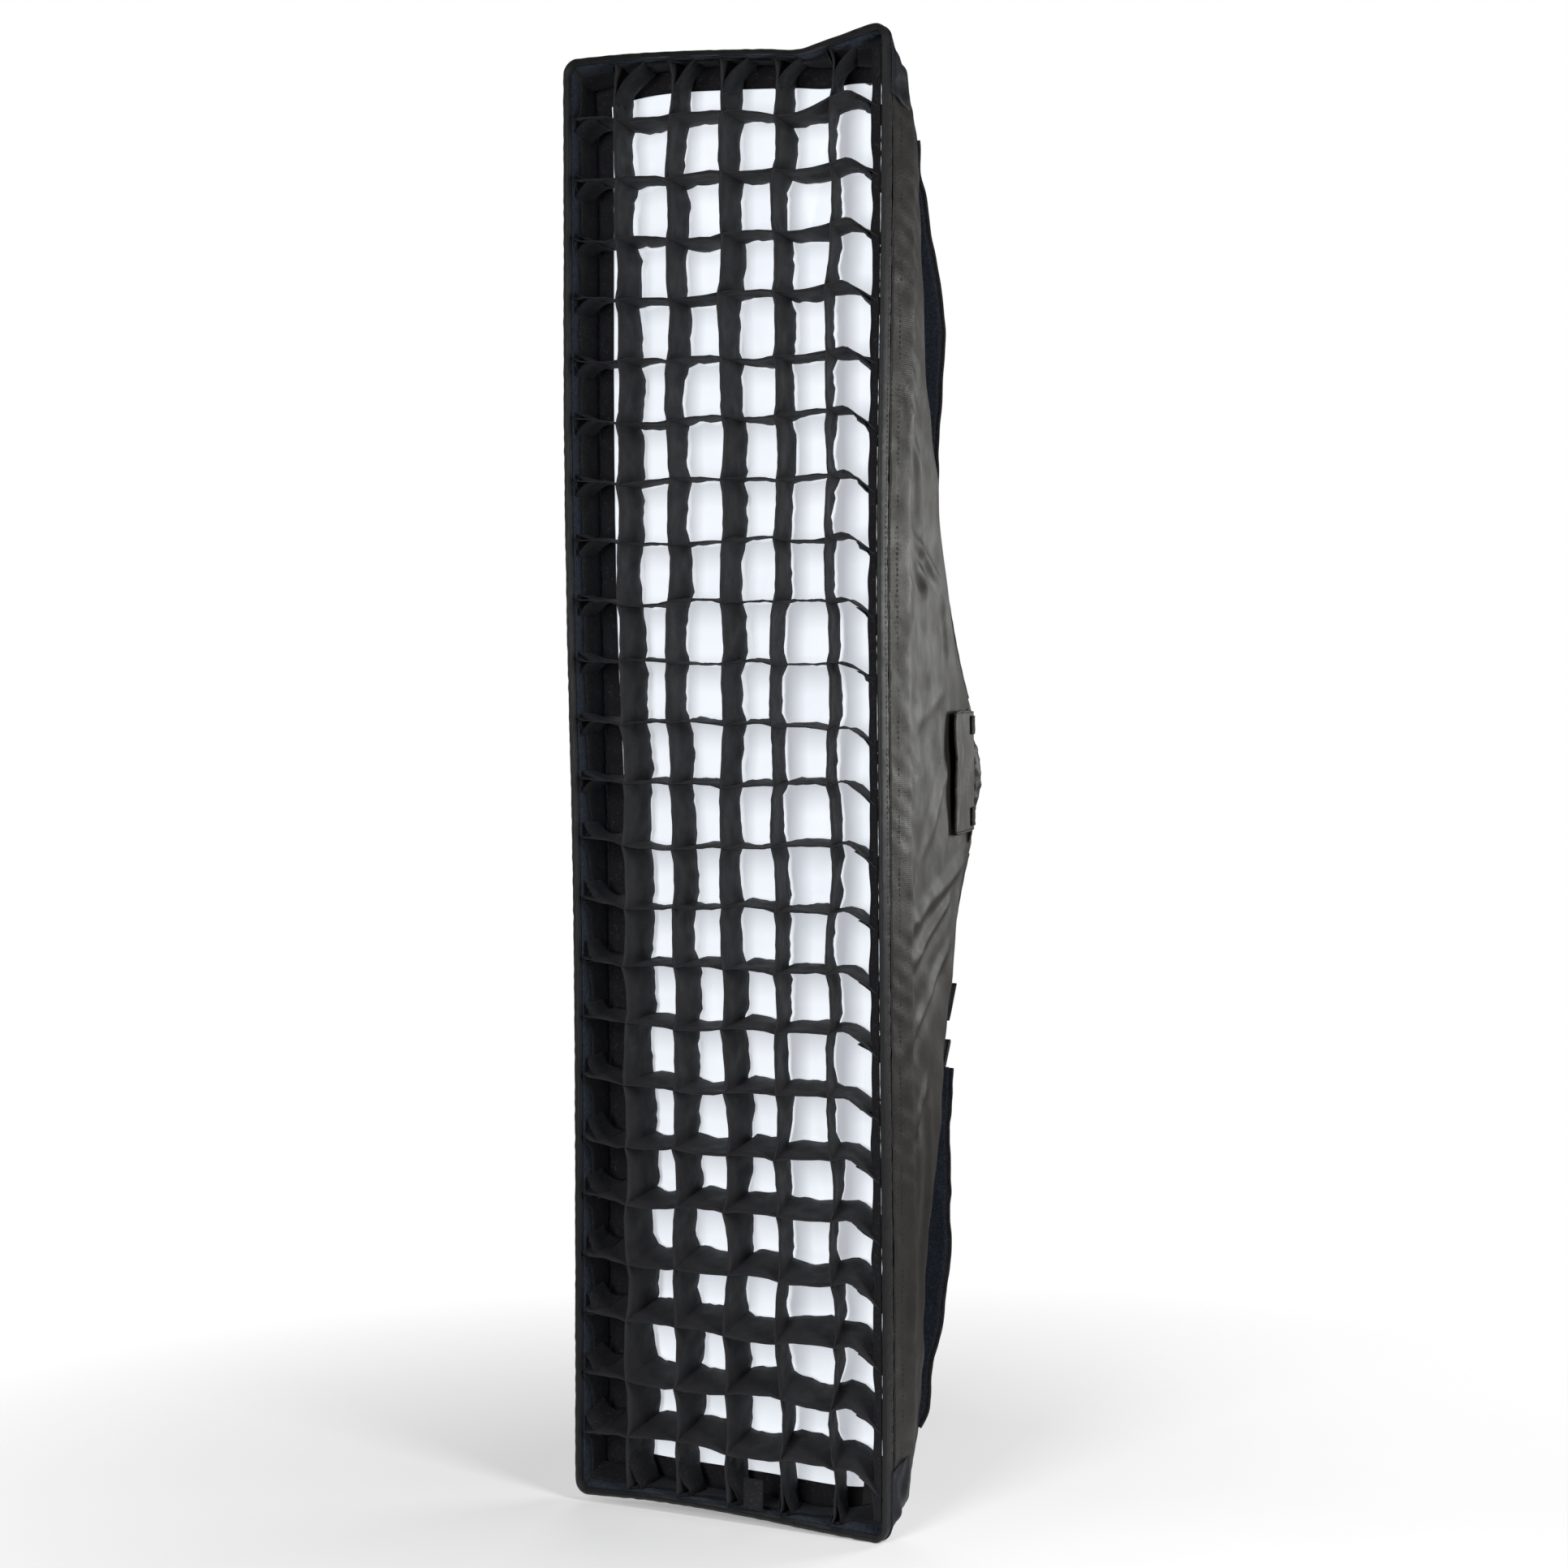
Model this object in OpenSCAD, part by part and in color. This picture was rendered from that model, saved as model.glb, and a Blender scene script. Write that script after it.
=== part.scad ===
// Strip softbox: a black nylon box on four rods round a rotating speedring, with a white
// diffuser, an inner baffle and a fabric egg-crate grid. The front faces -Y, the light goes on
// at +Y, and the long axis is Z. The origin is the centre of the insert's rear face.

/* [Box] */
// Width of the front opening
front_w = 300; // [280:1:320]
// Height of the front opening
front_h = 1200; // [1150:1:1250]
// Depth from the front edge to the insert's rear face
box_d = 322; // [310:1:340]
// Depth of the straight lip behind the front edge
lip_d = 50; // [50:1:54]
// Thickness of the stiffened lip
lip_t = 2; // [1.6:0.1:2.4]
// Thickness of the nylon skin
skin_t = 1.2; // [0.8:0.1:1.4]
// Thickness of the silver lining
lining_t = 0.6; // [0.4:0.1:0.8]

/* [Neck] */
// Width of the skin where it meets the speedring
neck_w = 148; // [144:1:156]
// Height of the skin where it meets the speedring
neck_h = 132; // [128:1:140]
// Distance from the neck to the insert's rear face
neck_back = 24; // [24:0.5:26]

/* [Speedring] */
// Radius of the outer ring
ring_r = 75; // [74.5:0.5:76]
// Radius of the light's opening through the insert
bore_r = 44; // [42:0.5:46]
// Radius of the insert's collar
collar_r = 49; // [48:0.5:50]
// Radius of the bayonet lugs
lug_r = 54.5; // [53:0.5:56]
// Diameter of the lock knob
knob_d = 18; // [14:1:18]

/* [Rods] */
// Diameter of a rod
rod_d = 4; // [3:0.5:4.5]
// Radius of the soft cap on a rod's tip
cap_r = 3.5; // [3.2:0.1:3.6]
// Outer radius of a corner pocket
pocket_r = 5.5; // [5:0.1:5.6]

/* [Grid] */
// Width of one grid cell
cell = 50; // [48:1:52]
// Columns of cells
columns = 6; // [4:1:6]
// Rows of cells
rows = 24; // [12:1:24]
// Depth of the grid's strips
grid_d = 42; // [30:1:42]
// Thickness of a grid strip
strip_t = 1; // [0.6:0.1:1.4]

/* [Diffusers] */
// Thickness of the white cloths
cloth_t = 0.8; // [0.5:0.1:0.9]
// Width of the diffuser's black hem
hem_w = 20; // [15:1:30]
// Width of the inner baffle
baffle_w = 200; // [160:1:200]
// Height of the inner baffle
baffle_h = 600; // [500:10:600]
// Depth of the baffle behind the front edge
baffle_d = 130; // [120:1:140]

/* [Closures] */
// Widest stand-out of a closure flap from its seam
flap_w = 22; // [16:1:22]
// Width of an access flap beside the speedring
access_w = 72; // [60:1:74]
// Height of an access flap
access_h = 104; // [90:1:110]

/* [Hidden] */
$fn = 64;

gap = 0.3;
front_y = -box_d;
lip_y = front_y + lip_d;
neck_y = -neck_back;
run_y = neck_y - lip_y;
side_slope = (front_w - neck_w) / 2 / run_y;
end_slope = (front_h - neck_h) / 2 / run_y;
side_angle = atan(side_slope);
end_angle = atan(1 / end_slope);
corners = [[1, 1], [-1, 1], [1, -1], [-1, -1]];

// Rod line, from the socket beside the ring to the pocket behind the lip's corner
rod_root = [50, -31, 34];
rod_tip = [front_w / 2 - 16, lip_y + 15, front_h / 2 - 78];
rod_dir = (rod_tip - rod_root) / norm(rod_tip - rod_root);
socket_len = 32;
socket_r = 6;
rod_in = 6;
cap_len = 12;
pocket_len = 34;

// Speedring stations along Y
ring_front = -22;
ring_rear = -6;
ring_taper = 4;
taper_y = -14;
seat_y = -18;
retainer_y = -3;
seat_r = 64;
seat_gap = 0.1;
ring_bore = 58;
web_r = 60;
web_front = -14;
web_rear = -10;
web_hole_r = 3.2;
lug_t = 3.5;
lug_angle = 40;
thread_r = 1.5;
thread_way = 0.1;
screw_circle_r = 67.4;

// Lock: a knob below the ring on a stud that pushes the brake shoe against the insert
lock_y = -12;
lock_r = 4;
lock_way = 0.05;
knob_foot = 108;
knob_len = 24;
grip_r = 1.4;
shoe_r = 68.7;
shoe_travel = 1.7;
shoe_w = 13.2;
shoe_d = 7.4;

// Foot that bolts a rod socket to the front of the ring
foot = [12, 9, 24];
foot_at = [44, 24];
foot_plate = [25, 4, 14];
foot_plate_at = [46, 12];

// Cloth planes along Y
diffuser_y = lip_y - 0.7;
baffle_y = front_y + baffle_d;
grid_y = front_y + 3;
pull_w = 18;
grid_half = [front_w / 2 - lip_t - 1.9, front_h / 2 - lip_t - 1.9];
border_t = 1.4;
border_round = 3;
tape_t = 1.4;
tape_in = lip_t + 0.2;
edge_round = 8;
binding_t = 3.6;
binding_over = 0.8;
patch = [40, 45];

// Access flap: hinged at the neck, it covers the socket on its side
access_rear = 3;
access_z = 5;
access_gap = 1.6;
access_t = 1.6;
mesh_w = 48;
mesh_h = 70;
hook = [14, 1, 16];

function unit(v) = v / norm(v);
// Half width and half height of the skin at a station y behind the lip
function half_w(y) = front_w / 2 - (y - lip_y) * side_slope;
function half_h(y) = front_h / 2 - (y - lip_y) * end_slope;
function seam(y) = [half_w(y), y, half_h(y)];
side_normal = [cos(side_angle), sin(side_angle), 0];
end_normal = [0, cos(end_angle), sin(end_angle)];
seam_dir = unit(seam(neck_y) - seam(lip_y));

// Closed slab between two matching four-point faces
module slab(a, b) {
    polyhedron(
        points = concat(a, b),
        faces = [[0, 1, 2, 3], [7, 6, 5, 4], [0, 4, 5, 1], [1, 5, 6, 2], [2, 6, 7, 3], [3, 7, 4, 0]]);
}

// Straight cylinder from a point along a direction
module rod_along(p, dir, len, r) {
    translate(p)
        rotate([0, acos(dir[2]), atan2(dir[1], dir[0])])
            cylinder(h = len, r = r);
}

// Shape repeated at one corner, given as signs in X and Z
module at_corner(c) {
    mirror([c[0] < 0 ? 1 : 0, 0, 0])
        mirror([0, 0, c[1] < 0 ? 1 : 0])
            children();
}

module at_corners() {
    for (c = corners)
        at_corner(c)
            children();
}

// Rectangular frame in the XZ plane, from y to y + d
module frame_ring(half, wall, y, d, r) {
    translate([0, y + d, 0])
        rotate([90, 0, 0])
            linear_extrude(d)
                difference() {
                    rounded_rect(half[0], half[1], r);
                    rounded_rect(half[0] - wall, half[1] - wall, max(r - wall, 0.1));
                }
}

module rounded_rect(hx, hz, r) {
    union() {
        square([2 * (hx - r), 2 * hz], center = true);
        square([2 * hx, 2 * (hz - r)], center = true);
        for (sx = [-1, 1], sz = [-1, 1])
            translate([sx * (hx - r), sz * (hz - r)])
                circle(r = r, $fn = 32);
    }
}

// Local frame on the right side panel: +X forward along it, +Y outwards
module on_side(y, z) {
    translate([half_w(y), y, z])
        rotate([0, 0, side_angle - 90])
            children();
}

// Local frame on the top end panel: +Z forward along it, +Y outwards
module on_end(x, y) {
    translate([x, y, half_h(y)])
        rotate([end_angle, 0, 0])
            children();
}

// ---- Speedring ----

module ring_insert() {
    color("silver")
        rotate([-90, 0, 0])
            difference() {
                union() {
                    rotate_extrude($fn = 128)
                        polygon([[bore_r, ring_front], [collar_r, ring_front],
                            [collar_r, web_front], [web_r, web_front], [web_r, seat_y + seat_gap],
                            [seat_r - seat_gap / 2, seat_y + seat_gap],
                            [seat_r - seat_gap / 2, ring_rear - seat_gap],
                            [web_r, ring_rear - seat_gap], [web_r, web_rear],
                            [collar_r, web_rear], [collar_r, 0], [bore_r, 0]]);
                    for (k = [0 : 2])
                        rotate([0, 0, 120 * k - lug_angle / 2 - 90])
                            rotate_extrude(angle = lug_angle, $fn = 128)
                                polygon([[collar_r - 0.5, -lug_t], [lug_r, -lug_t], [lug_r, 0],
                                    [collar_r - 0.5, 0]]);
                }
                for (k = [0 : 5])
                    rotate([0, 0, 60 * k + 30])
                        translate([(collar_r + web_r) / 2, 0, web_front - 1])
                            cylinder(h = web_rear - web_front + 2, r = web_hole_r);
            }
}

module ring_body() {
    color("dimgray")
        difference() {
            rotate([-90, 0, 0])
                rotate_extrude($fn = 128)
                    polygon([[ring_bore, ring_front], [ring_r, ring_front], [ring_r, taper_y],
                        [ring_r - ring_taper, ring_rear], [seat_r, ring_rear], [seat_r, seat_y],
                        [ring_bore, seat_y]]);
            // Threaded way and pocket for the lock
            translate([0, lock_y, -ring_r - 1])
                cylinder(h = 20, r = lock_r + lock_way);
            translate([-shoe_w / 2 - 0.4, lock_y - shoe_d / 2 - gap, -shoe_r - shoe_travel - 0.1])
                cube([shoe_w + 0.8, shoe_d + 2 * gap, 10]);
            for (k = [0 : 3])
                rotate([0, 90 * k + 45, 0])
                    translate([screw_circle_r, ring_rear + 1, 0])
                        rotate([90, 0, 0])
                            cylinder(h = 10, r = thread_r + thread_way);
            at_corners()
                for (p = socket_screw_points())
                    translate([p[0], ring_front + 6, p[1]])
                        rotate([90, 0, 0])
                            cylinder(h = 8, r = thread_r + thread_way);
        }
}

module ring_retainer() {
    color("dimgray")
        difference() {
            rotate([-90, 0, 0])
                rotate_extrude($fn = 128)
                    polygon([[ring_bore - 1, ring_rear], [ring_r - ring_taper, ring_rear],
                        [ring_r - ring_taper, retainer_y - 0.6],
                        [ring_r - ring_taper - 0.6, retainer_y],
                        [ring_bore - 1, retainer_y]]);
            for (k = [0 : 3])
                rotate([0, 90 * k + 45, 0])
                    translate([screw_circle_r, retainer_y + 1, 0])
                        rotate([90, 0, 0])
                            cylinder(h = 6, r = thread_r + 2 * thread_way);
        }
}

module retainer_screws() {
    color("silver")
        for (k = [0 : 3])
            rotate([0, 90 * k + 45, 0])
                translate([screw_circle_r, 0, 0])
                    rotate([90, 0, 0])
                        difference() {
                            union() {
                                translate([0, 0, -retainer_y - 2])
                                    cylinder(h = 2, r = 2.8);
                                translate([0, 0, -retainer_y])
                                    cylinder(h = 10, r = thread_r);
                            }
                            translate([-2.2, -0.4, -retainer_y - 2.5])
                                cube([4.4, 0.8, 1.4]);
                            translate([-0.4, -2.2, -retainer_y - 2.5])
                                cube([0.8, 4.4, 1.4]);
                        }
}

// Feet of the sockets, bolted through the front of the ring
function socket_screw_points() = [[67.5, 16], [64.5, 23]];

module rod_socket(c) {
    color("gray")
        at_corner(c)
            difference() {
                union() {
                    rod_along(rod_root, rod_dir, socket_len, socket_r);
                    translate([foot_at[0], ring_front - foot[1], foot_at[1]])
                        cube(foot);
                    translate([foot_plate_at[0], ring_front - foot_plate[1], foot_plate_at[1]])
                        cube(foot_plate);
                }
                rod_along(rod_root + rod_dir * rod_in, rod_dir, socket_len, rod_d / 2 + 0.1);
                for (p = socket_screw_points())
                    translate([p[0], ring_front + 1, p[1]])
                        rotate([90, 0, 0])
                            cylinder(h = 8, r = thread_r + thread_way);
            }
}

module socket_screws() {
    color("silver")
        at_corners()
            for (p = socket_screw_points())
                translate([p[0], ring_front - foot_plate[1], p[1]])
                    rotate([90, 0, 0])
                        union() {
                            cylinder(h = 1.8, r = 2.6);
                            translate([0, 0, -9])
                                cylinder(h = 9, r = thread_r);
                        }
}

module lock_knob() {
    color("black")
        translate([0, lock_y, 0])
            union() {
                difference() {
                    translate([0, 0, -knob_foot])
                        cylinder(h = knob_len, d = knob_d);
                    for (k = [0 : 11])
                        rotate([0, 0, 30 * k])
                            translate([knob_d / 2 + 0.6, 0, -knob_foot - 1])
                                cylinder(h = knob_len - 4, r = grip_r);
                }
                translate([0, 0, knob_len - knob_foot - 2])
                    cylinder(h = knob_foot - knob_len + 2 - shoe_r - shoe_travel, r = lock_r);
            }
}

module brake_shoe() {
    color("black")
        intersection() {
            translate([-shoe_w / 2, lock_y - shoe_d / 2, -shoe_r])
                cube([shoe_w, shoe_d, 6]);
            rotate([-90, 0, 0])
                rotate_extrude($fn = 128)
                    translate([seat_r + seat_gap, ring_front])
                        square([5, 20]);
        }
}

// ---- Rods ----

module rod(c) {
    color("gainsboro")
        at_corner(c)
            rod_along(rod_root + rod_dir * rod_in, rod_dir, norm(rod_tip - rod_root) - rod_in, rod_d / 2);
}

module rod_tip_caps() {
    color("black")
        at_corners()
            difference() {
                rod_along(rod_tip - rod_dir * (cap_len - 3), rod_dir, cap_len, cap_r);
                rod_along(rod_tip - rod_dir * cap_len, rod_dir, cap_len, rod_d / 2 + 0.02);
            }
}

module corner_pocket(c) {
    color("black")
        at_corner(c)
            difference() {
                rod_along(rod_tip - rod_dir * (pocket_len - 5), rod_dir, pocket_len, pocket_r);
                rod_along(rod_tip - rod_dir * pocket_len, rod_dir, pocket_len + 3.2, cap_r + 0.1);
            }
}

module corner_patches() {
    color("black")
        at_corners()
            translate([0, lip_y - 4, 0])
                rotate([90, 0, 0])
                    linear_extrude(lip_d - 10)
                        difference() {
                            translate([front_w / 2 - patch[0], front_h / 2 - patch[1]])
                                square(patch + [gap + 1.1, gap + 1.1]);
                            translate([front_w / 2 - 60, front_h / 2 - 65])
                                square([60 + gap, 65 + gap]);
                        }
}

// ---- Skin and lining ----

// Side sheet between the lip and the neck, inset d0 to d1 from the outer surface, and edge short
// of the seams. y0 is where it starts behind the lip.
module side_sheet(s, d0, d1, edge, y0) {
    function ring_at(d) = [for (k = [[y0, 1], [neck_y, 1], [neck_y, -1], [y0, -1]])
        [half_w(k[0]), k[0], k[1] * (half_h(k[0]) - edge)] - side_normal * d];
    mirror([s < 0 ? 1 : 0, 0, 0])
        slab(ring_at(d0), ring_at(d1));
}

module end_sheet(s, d0, d1, edge, y0) {
    function ring_at(d) = [for (k = [[y0, 1], [neck_y, 1], [neck_y, -1], [y0, -1]])
        [k[1] * (half_w(k[0]) - edge), k[0], half_h(k[0])] - end_normal * d];
    mirror([0, 0, s < 0 ? 1 : 0])
        slab(ring_at(d1), ring_at(d0));
}

lining_in = skin_t + 0.8;

module side_panel(s) {
    color("dimgray")
        side_sheet(s, 0, skin_t, 3, lip_y + 0.8);
}

module end_panel(s) {
    color("dimgray")
        end_sheet(s, 0, skin_t, 3, lip_y + 1.5);
}

module side_lining(s) {
    color("silver")
        side_sheet(s, lining_in, lining_in + lining_t, 10, lip_y + 2);
}

module end_lining(s) {
    color("silver")
        end_sheet(s, lining_in, lining_in + lining_t, 8, lip_y + 3.2);
}

module lip_wall_side(s) {
    color("black")
        translate([s * (front_w - lip_t) / 2, (front_y + 2 + lip_y) / 2, 0])
            cube([lip_t, lip_d - 2, front_h - 2 * lip_t], center = true);
}

module lip_wall_end(s) {
    color("black")
        translate([0, (front_y + 2 + lip_y) / 2, s * (front_h - lip_t) / 2])
            cube([front_w - 0.1, lip_d - 2, lip_t - 0.1], center = true);
}

module front_binding() {
    color("black")
        frame_ring([front_w / 2 + binding_over, front_h / 2 + binding_over], binding_t, front_y, 1.8,
            edge_round);
}

module lip_tape_front() {
    color("midnightblue")
        frame_ring([front_w / 2 - tape_in, front_h / 2 - tape_in], tape_t, front_y + 8, 22, 0.2);
}

module lip_tape_rear() {
    color("midnightblue")
        frame_ring([front_w / 2 - tape_in, front_h / 2 - tape_in], tape_t, lip_y - 16, 15, 0.2);
}

module neck_collar() {
    color("black")
        difference() {
            rotate([-90, 0, 0])
                rotate_extrude($fn = 128)
                    polygon([[ring_r + gap, neck_y + 0.5], [ring_r + gap + 1.8, neck_y + 0.5],
                        [ring_r + gap + 1.8, taper_y + 1], [ring_r + gap, taper_y + 1]]);
            translate([0, lock_y, -ring_r - 10])
                cylinder(h = 20, r = lock_r + 2);
        }
}

// Piping along the four seams where the rods run
module seam_welts() {
    len = norm(seam(neck_y - 2) - seam(lip_y + 3));
    color("black")
        at_corners()
            rod_along(seam(lip_y + 3), seam_dir, len, 1.2);
}

// ---- Closure flaps along the seams ----

flap_near = 56;
flap_far = 385;
flap_steps = 14;
strap_at = 406;
strap = [13, 1.6, 34];
buckle_at = 358;
buckle = [16, 2.4, 32];
buckle_slot = [10, 4, 4];

// Stand-out of the flap at a share s of its length: full near the front, thin near the ring
function flap_reach(s) = 3 + (flap_w - 3) * pow(sin(180 * pow(s, 0.65)), 0.8);
function flap_y(s) = lip_y + (flap_near + (flap_far - flap_near) * s) / end_slope;

module flap_sheet(d0, d1, inner, trim) {
    n = flap_steps;
    function rail(d, far) = [for (k = [0 : n])
        let(s = k / n, p = seam(flap_y(s)))
            p + [far ? max(flap_reach(s) - trim, inner + 0.4) : inner, 0, 0] + end_normal * d];
    pts = concat(rail(d0, false), rail(d0, true), rail(d1, false), rail(d1, true));
    m = n + 1;
    polyhedron(
        points = pts,
        faces = concat(
            [for (k = [0 : n - 1]) [k, k + 1, m + k + 1, m + k]],
            [for (k = [0 : n - 1]) [2 * m + k, 3 * m + k, 3 * m + k + 1, 2 * m + k + 1]],
            [for (k = [0 : n - 1]) [k, 2 * m + k, 2 * m + k + 1, k + 1]],
            [for (k = [0 : n - 1]) [m + k, m + k + 1, 3 * m + k + 1, 3 * m + k]],
            [[0, m, 3 * m, 2 * m], [n, 2 * m + n, 3 * m + n, m + n]]));
}

module closure_flaps() {
    color("black")
        at_corners()
            flap_sheet(0.2, 1.8, 1.5, 0);
}

module closure_tapes() {
    color("midnightblue")
        at_corners()
            flap_sheet(-1.4, 0, 2, 1.5);
}

// Tab of webbing and slotted buckle on the lower seams, below the speedring
module closure_straps() {
    color("black")
        for (s = [1, -1])
            at_corner([s, -1])
                translate(seam(lip_y + strap_at / end_slope))
                    rotate([end_angle, 0, 0])
                        translate([5, -strap[1] / 2, -strap[2] / 2])
                            cube(strap);
}

module strap_buckles() {
    color("black")
        for (s = [1, -1])
            at_corner([s, -1])
                translate(seam(lip_y + buckle_at / end_slope))
                    rotate([end_angle, 0, 0])
                        difference() {
                            translate([5, -4.2, -buckle[2] / 2])
                                cube(buckle);
                            for (k = [-1, 1])
                                translate([8, -5, k * 6 - buckle_slot[2] / 2])
                                    cube(buckle_slot);
                        }
}

// ---- Access flaps ----

module access_flap(s) {
    color("dimgray")
        mirror([s < 0 ? 1 : 0, 0, 0])
            on_side(neck_y, access_z)
                translate([access_rear, access_gap, -access_h / 2])
                    cube([access_w, access_t, access_h]);
}

module access_meshes() {
    color("black")
        for (s = [1, -1])
            mirror([s < 0 ? 1 : 0, 0, 0])
                on_side(neck_y, access_z)
                    translate([16, gap, -mesh_h / 2])
                        cube([mesh_w, 0.8, mesh_h]);
}

module flap_hook_tapes(s) {
    color("black")
        for (z = [access_h / 2 - 4 - hook[2], 4 - access_h / 2])
            mirror([s < 0 ? 1 : 0, 0, 0])
                on_side(neck_y, access_z)
                    translate([access_rear + 4, access_gap + access_t, z])
                        cube(hook);
}

// ---- Diffuser and baffle ----

module cloth(hx, hz, y) {
    translate([-hx, y - cloth_t, -hz])
        cube([2 * hx, cloth_t, 2 * hz]);
}

module diffuser() {
    color("white")
        cloth(grid_half[0] - 0.5, grid_half[1] - 0.5, diffuser_y);
}

module diffuser_hem() {
    color("black")
        frame_ring([grid_half[0] - 0.5, grid_half[1] - 0.5], hem_w, diffuser_y - 1.8, 1, 0.2);
}

module diffuser_tab() {
    color("black")
        translate([cell * 2 + 6, diffuser_y - 2.9, 0.5 - grid_half[1]])
            cube([pull_w, 1, 30]);
}

module baffle() {
    color("white")
        cloth(baffle_w / 2, baffle_h / 2, baffle_y);
}

module baffle_hem() {
    color("black")
        frame_ring([baffle_w / 2, baffle_h / 2], baffle_hem_w, baffle_y - cloth_t - 1, 1, 0.2);
}

baffle_hem_w = 12;
tab_w = 25;
side_tab_z = baffle_h * 0.38;
end_tab_x = baffle_w * 0.3;
pad_t = 1.2;
pad_len = 30;
pad_in = lining_in + lining_t + gap;
side_tab_end = half_w(baffle_y) - (pad_in + pad_t) / cos(side_angle) - 3;
end_tab_end = half_h(baffle_y) - (pad_in + pad_t) / sin(end_angle) - 3;

module baffle_tabs() {
    color("black")
        at_corners() {
            translate([baffle_w / 2, baffle_y - 1, side_tab_z - tab_w / 2])
                cube([side_tab_end - baffle_w / 2, 1, tab_w]);
            translate([end_tab_x - tab_w / 2, baffle_y - 1, baffle_h / 2])
                cube([tab_w, 1, end_tab_end - baffle_h / 2]);
        }
}

module lining_pads() {
    color("midnightblue")
        at_corners() {
            on_side(baffle_y, side_tab_z)
                translate([-pad_len / 2, -pad_in - pad_t, -tab_w / 2])
                    cube([pad_len, pad_t, tab_w]);
            on_end(end_tab_x, baffle_y)
                translate([-tab_w / 2, -pad_in - pad_t, -pad_len / 2])
                    cube([tab_w, pad_t, pad_len]);
        }
}

// ---- Grid ----

// Outline of a strip of length 2 * half_len, notched at every crossing to half its depth. The
// notches open towards dir: +1 at the rear edge, -1 at the front edge.
module strip_outline(half_len, count, dir) {
    notch = strip_t / 2 + 0.05;
    places = [for (k = [1 : count]) cell * (k - (count + 1) / 2)];
    plain = dir > 0 ? 0 : grid_d;
    open = grid_d - plain;
    polygon(concat(
        [[-half_len, plain], [-half_len, open]],
        [for (p = places, q = [[-notch, open], [-notch, grid_d / 2], [notch, grid_d / 2], [notch, open]])
            [p + q[0], q[1]]],
        [[half_len, open], [half_len, plain]]));
}

module grid_long_strips() {
    color("black")
        for (k = [1 : columns - 1])
            translate([cell * (k - columns / 2) - strip_t / 2, grid_y, 0])
                rotate([90, 0, 90])
                    linear_extrude(strip_t)
                        rotate([0, 0, 90])
                            mirror([0, 1])
                                strip_outline(grid_half[1] - border_t, rows - 1, -1);
}

module grid_cross_strips() {
    color("black")
        for (k = [1 : rows - 1])
            translate([0, grid_y, cell * (k - rows / 2) - strip_t / 2])
                linear_extrude(strip_t)
                    strip_outline(grid_half[0] - border_t, columns - 1, 1);
}

module grid_border() {
    color("black")
        frame_ring(grid_half, border_t, grid_y, grid_d, border_round);
}

module grid_tab() {
    color("black")
        translate([16, grid_y - 1.1, 1 - grid_half[1]])
            cube([pull_w, 1, 26]);
}

ring_insert();
ring_body();
ring_retainer();
retainer_screws();
rod_socket([1, 1]);  // rod_socket_upper_right
rod_socket([-1, 1]);  // rod_socket_upper_left
rod_socket([1, -1]);  // rod_socket_lower_right
rod_socket([-1, -1]);  // rod_socket_lower_left
socket_screws();
lock_knob();
brake_shoe();
rod([1, 1]);  // rod_upper_right
rod([-1, 1]);  // rod_upper_left
rod([1, -1]);  // rod_lower_right
rod([-1, -1]);  // rod_lower_left
rod_tip_caps();
corner_pocket([1, 1]);  // corner_pocket_upper_right
corner_pocket([-1, 1]);  // corner_pocket_upper_left
corner_pocket([1, -1]);  // corner_pocket_lower_right
corner_pocket([-1, -1]);  // corner_pocket_lower_left
corner_patches();
side_panel(1);  // side_panel_right
side_panel(-1);  // side_panel_left
end_panel(1);  // end_panel_top
end_panel(-1);  // end_panel_bottom
side_lining(1);  // lining_right
side_lining(-1);  // lining_left
end_lining(1);  // lining_top
end_lining(-1);  // lining_bottom
lip_wall_side(1);  // lip_wall_right
lip_wall_side(-1);  // lip_wall_left
lip_wall_end(1);  // lip_wall_top
lip_wall_end(-1);  // lip_wall_bottom
front_binding();
lip_tape_front();
lip_tape_rear();
neck_collar();
seam_welts();
closure_flaps();
closure_tapes();
closure_straps();
strap_buckles();
access_flap(1);  // access_flap_right
access_flap(-1);  // access_flap_left
access_meshes();
flap_hook_tapes(1);  // flap_hook_tapes_right
flap_hook_tapes(-1);  // flap_hook_tapes_left
diffuser();
diffuser_hem();
diffuser_tab();
baffle();
baffle_hem();
baffle_tabs();
lining_pads();
grid_long_strips();
grid_cross_strips();
grid_border();
grid_tab();
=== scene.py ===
"""Strip softbox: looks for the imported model. Shapes are worked out in millimetres and made in metres."""
import math

import bpy
import numpy as np
from mathutils import Matrix, Vector


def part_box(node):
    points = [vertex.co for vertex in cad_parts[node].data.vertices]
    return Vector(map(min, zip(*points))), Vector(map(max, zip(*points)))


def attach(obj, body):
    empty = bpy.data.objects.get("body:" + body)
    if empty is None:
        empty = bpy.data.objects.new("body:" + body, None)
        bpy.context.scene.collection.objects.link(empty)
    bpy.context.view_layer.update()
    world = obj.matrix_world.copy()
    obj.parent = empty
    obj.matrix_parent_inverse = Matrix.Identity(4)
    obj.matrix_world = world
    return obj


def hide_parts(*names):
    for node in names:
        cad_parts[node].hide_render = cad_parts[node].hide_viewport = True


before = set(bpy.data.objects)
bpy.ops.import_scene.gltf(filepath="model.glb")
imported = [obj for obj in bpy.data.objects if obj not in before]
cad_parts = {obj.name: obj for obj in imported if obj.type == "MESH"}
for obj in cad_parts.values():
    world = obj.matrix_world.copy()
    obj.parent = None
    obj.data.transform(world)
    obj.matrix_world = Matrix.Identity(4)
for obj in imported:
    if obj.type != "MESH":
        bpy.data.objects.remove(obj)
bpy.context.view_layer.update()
MM = 0.001
TAU = 2 * math.pi

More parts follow.
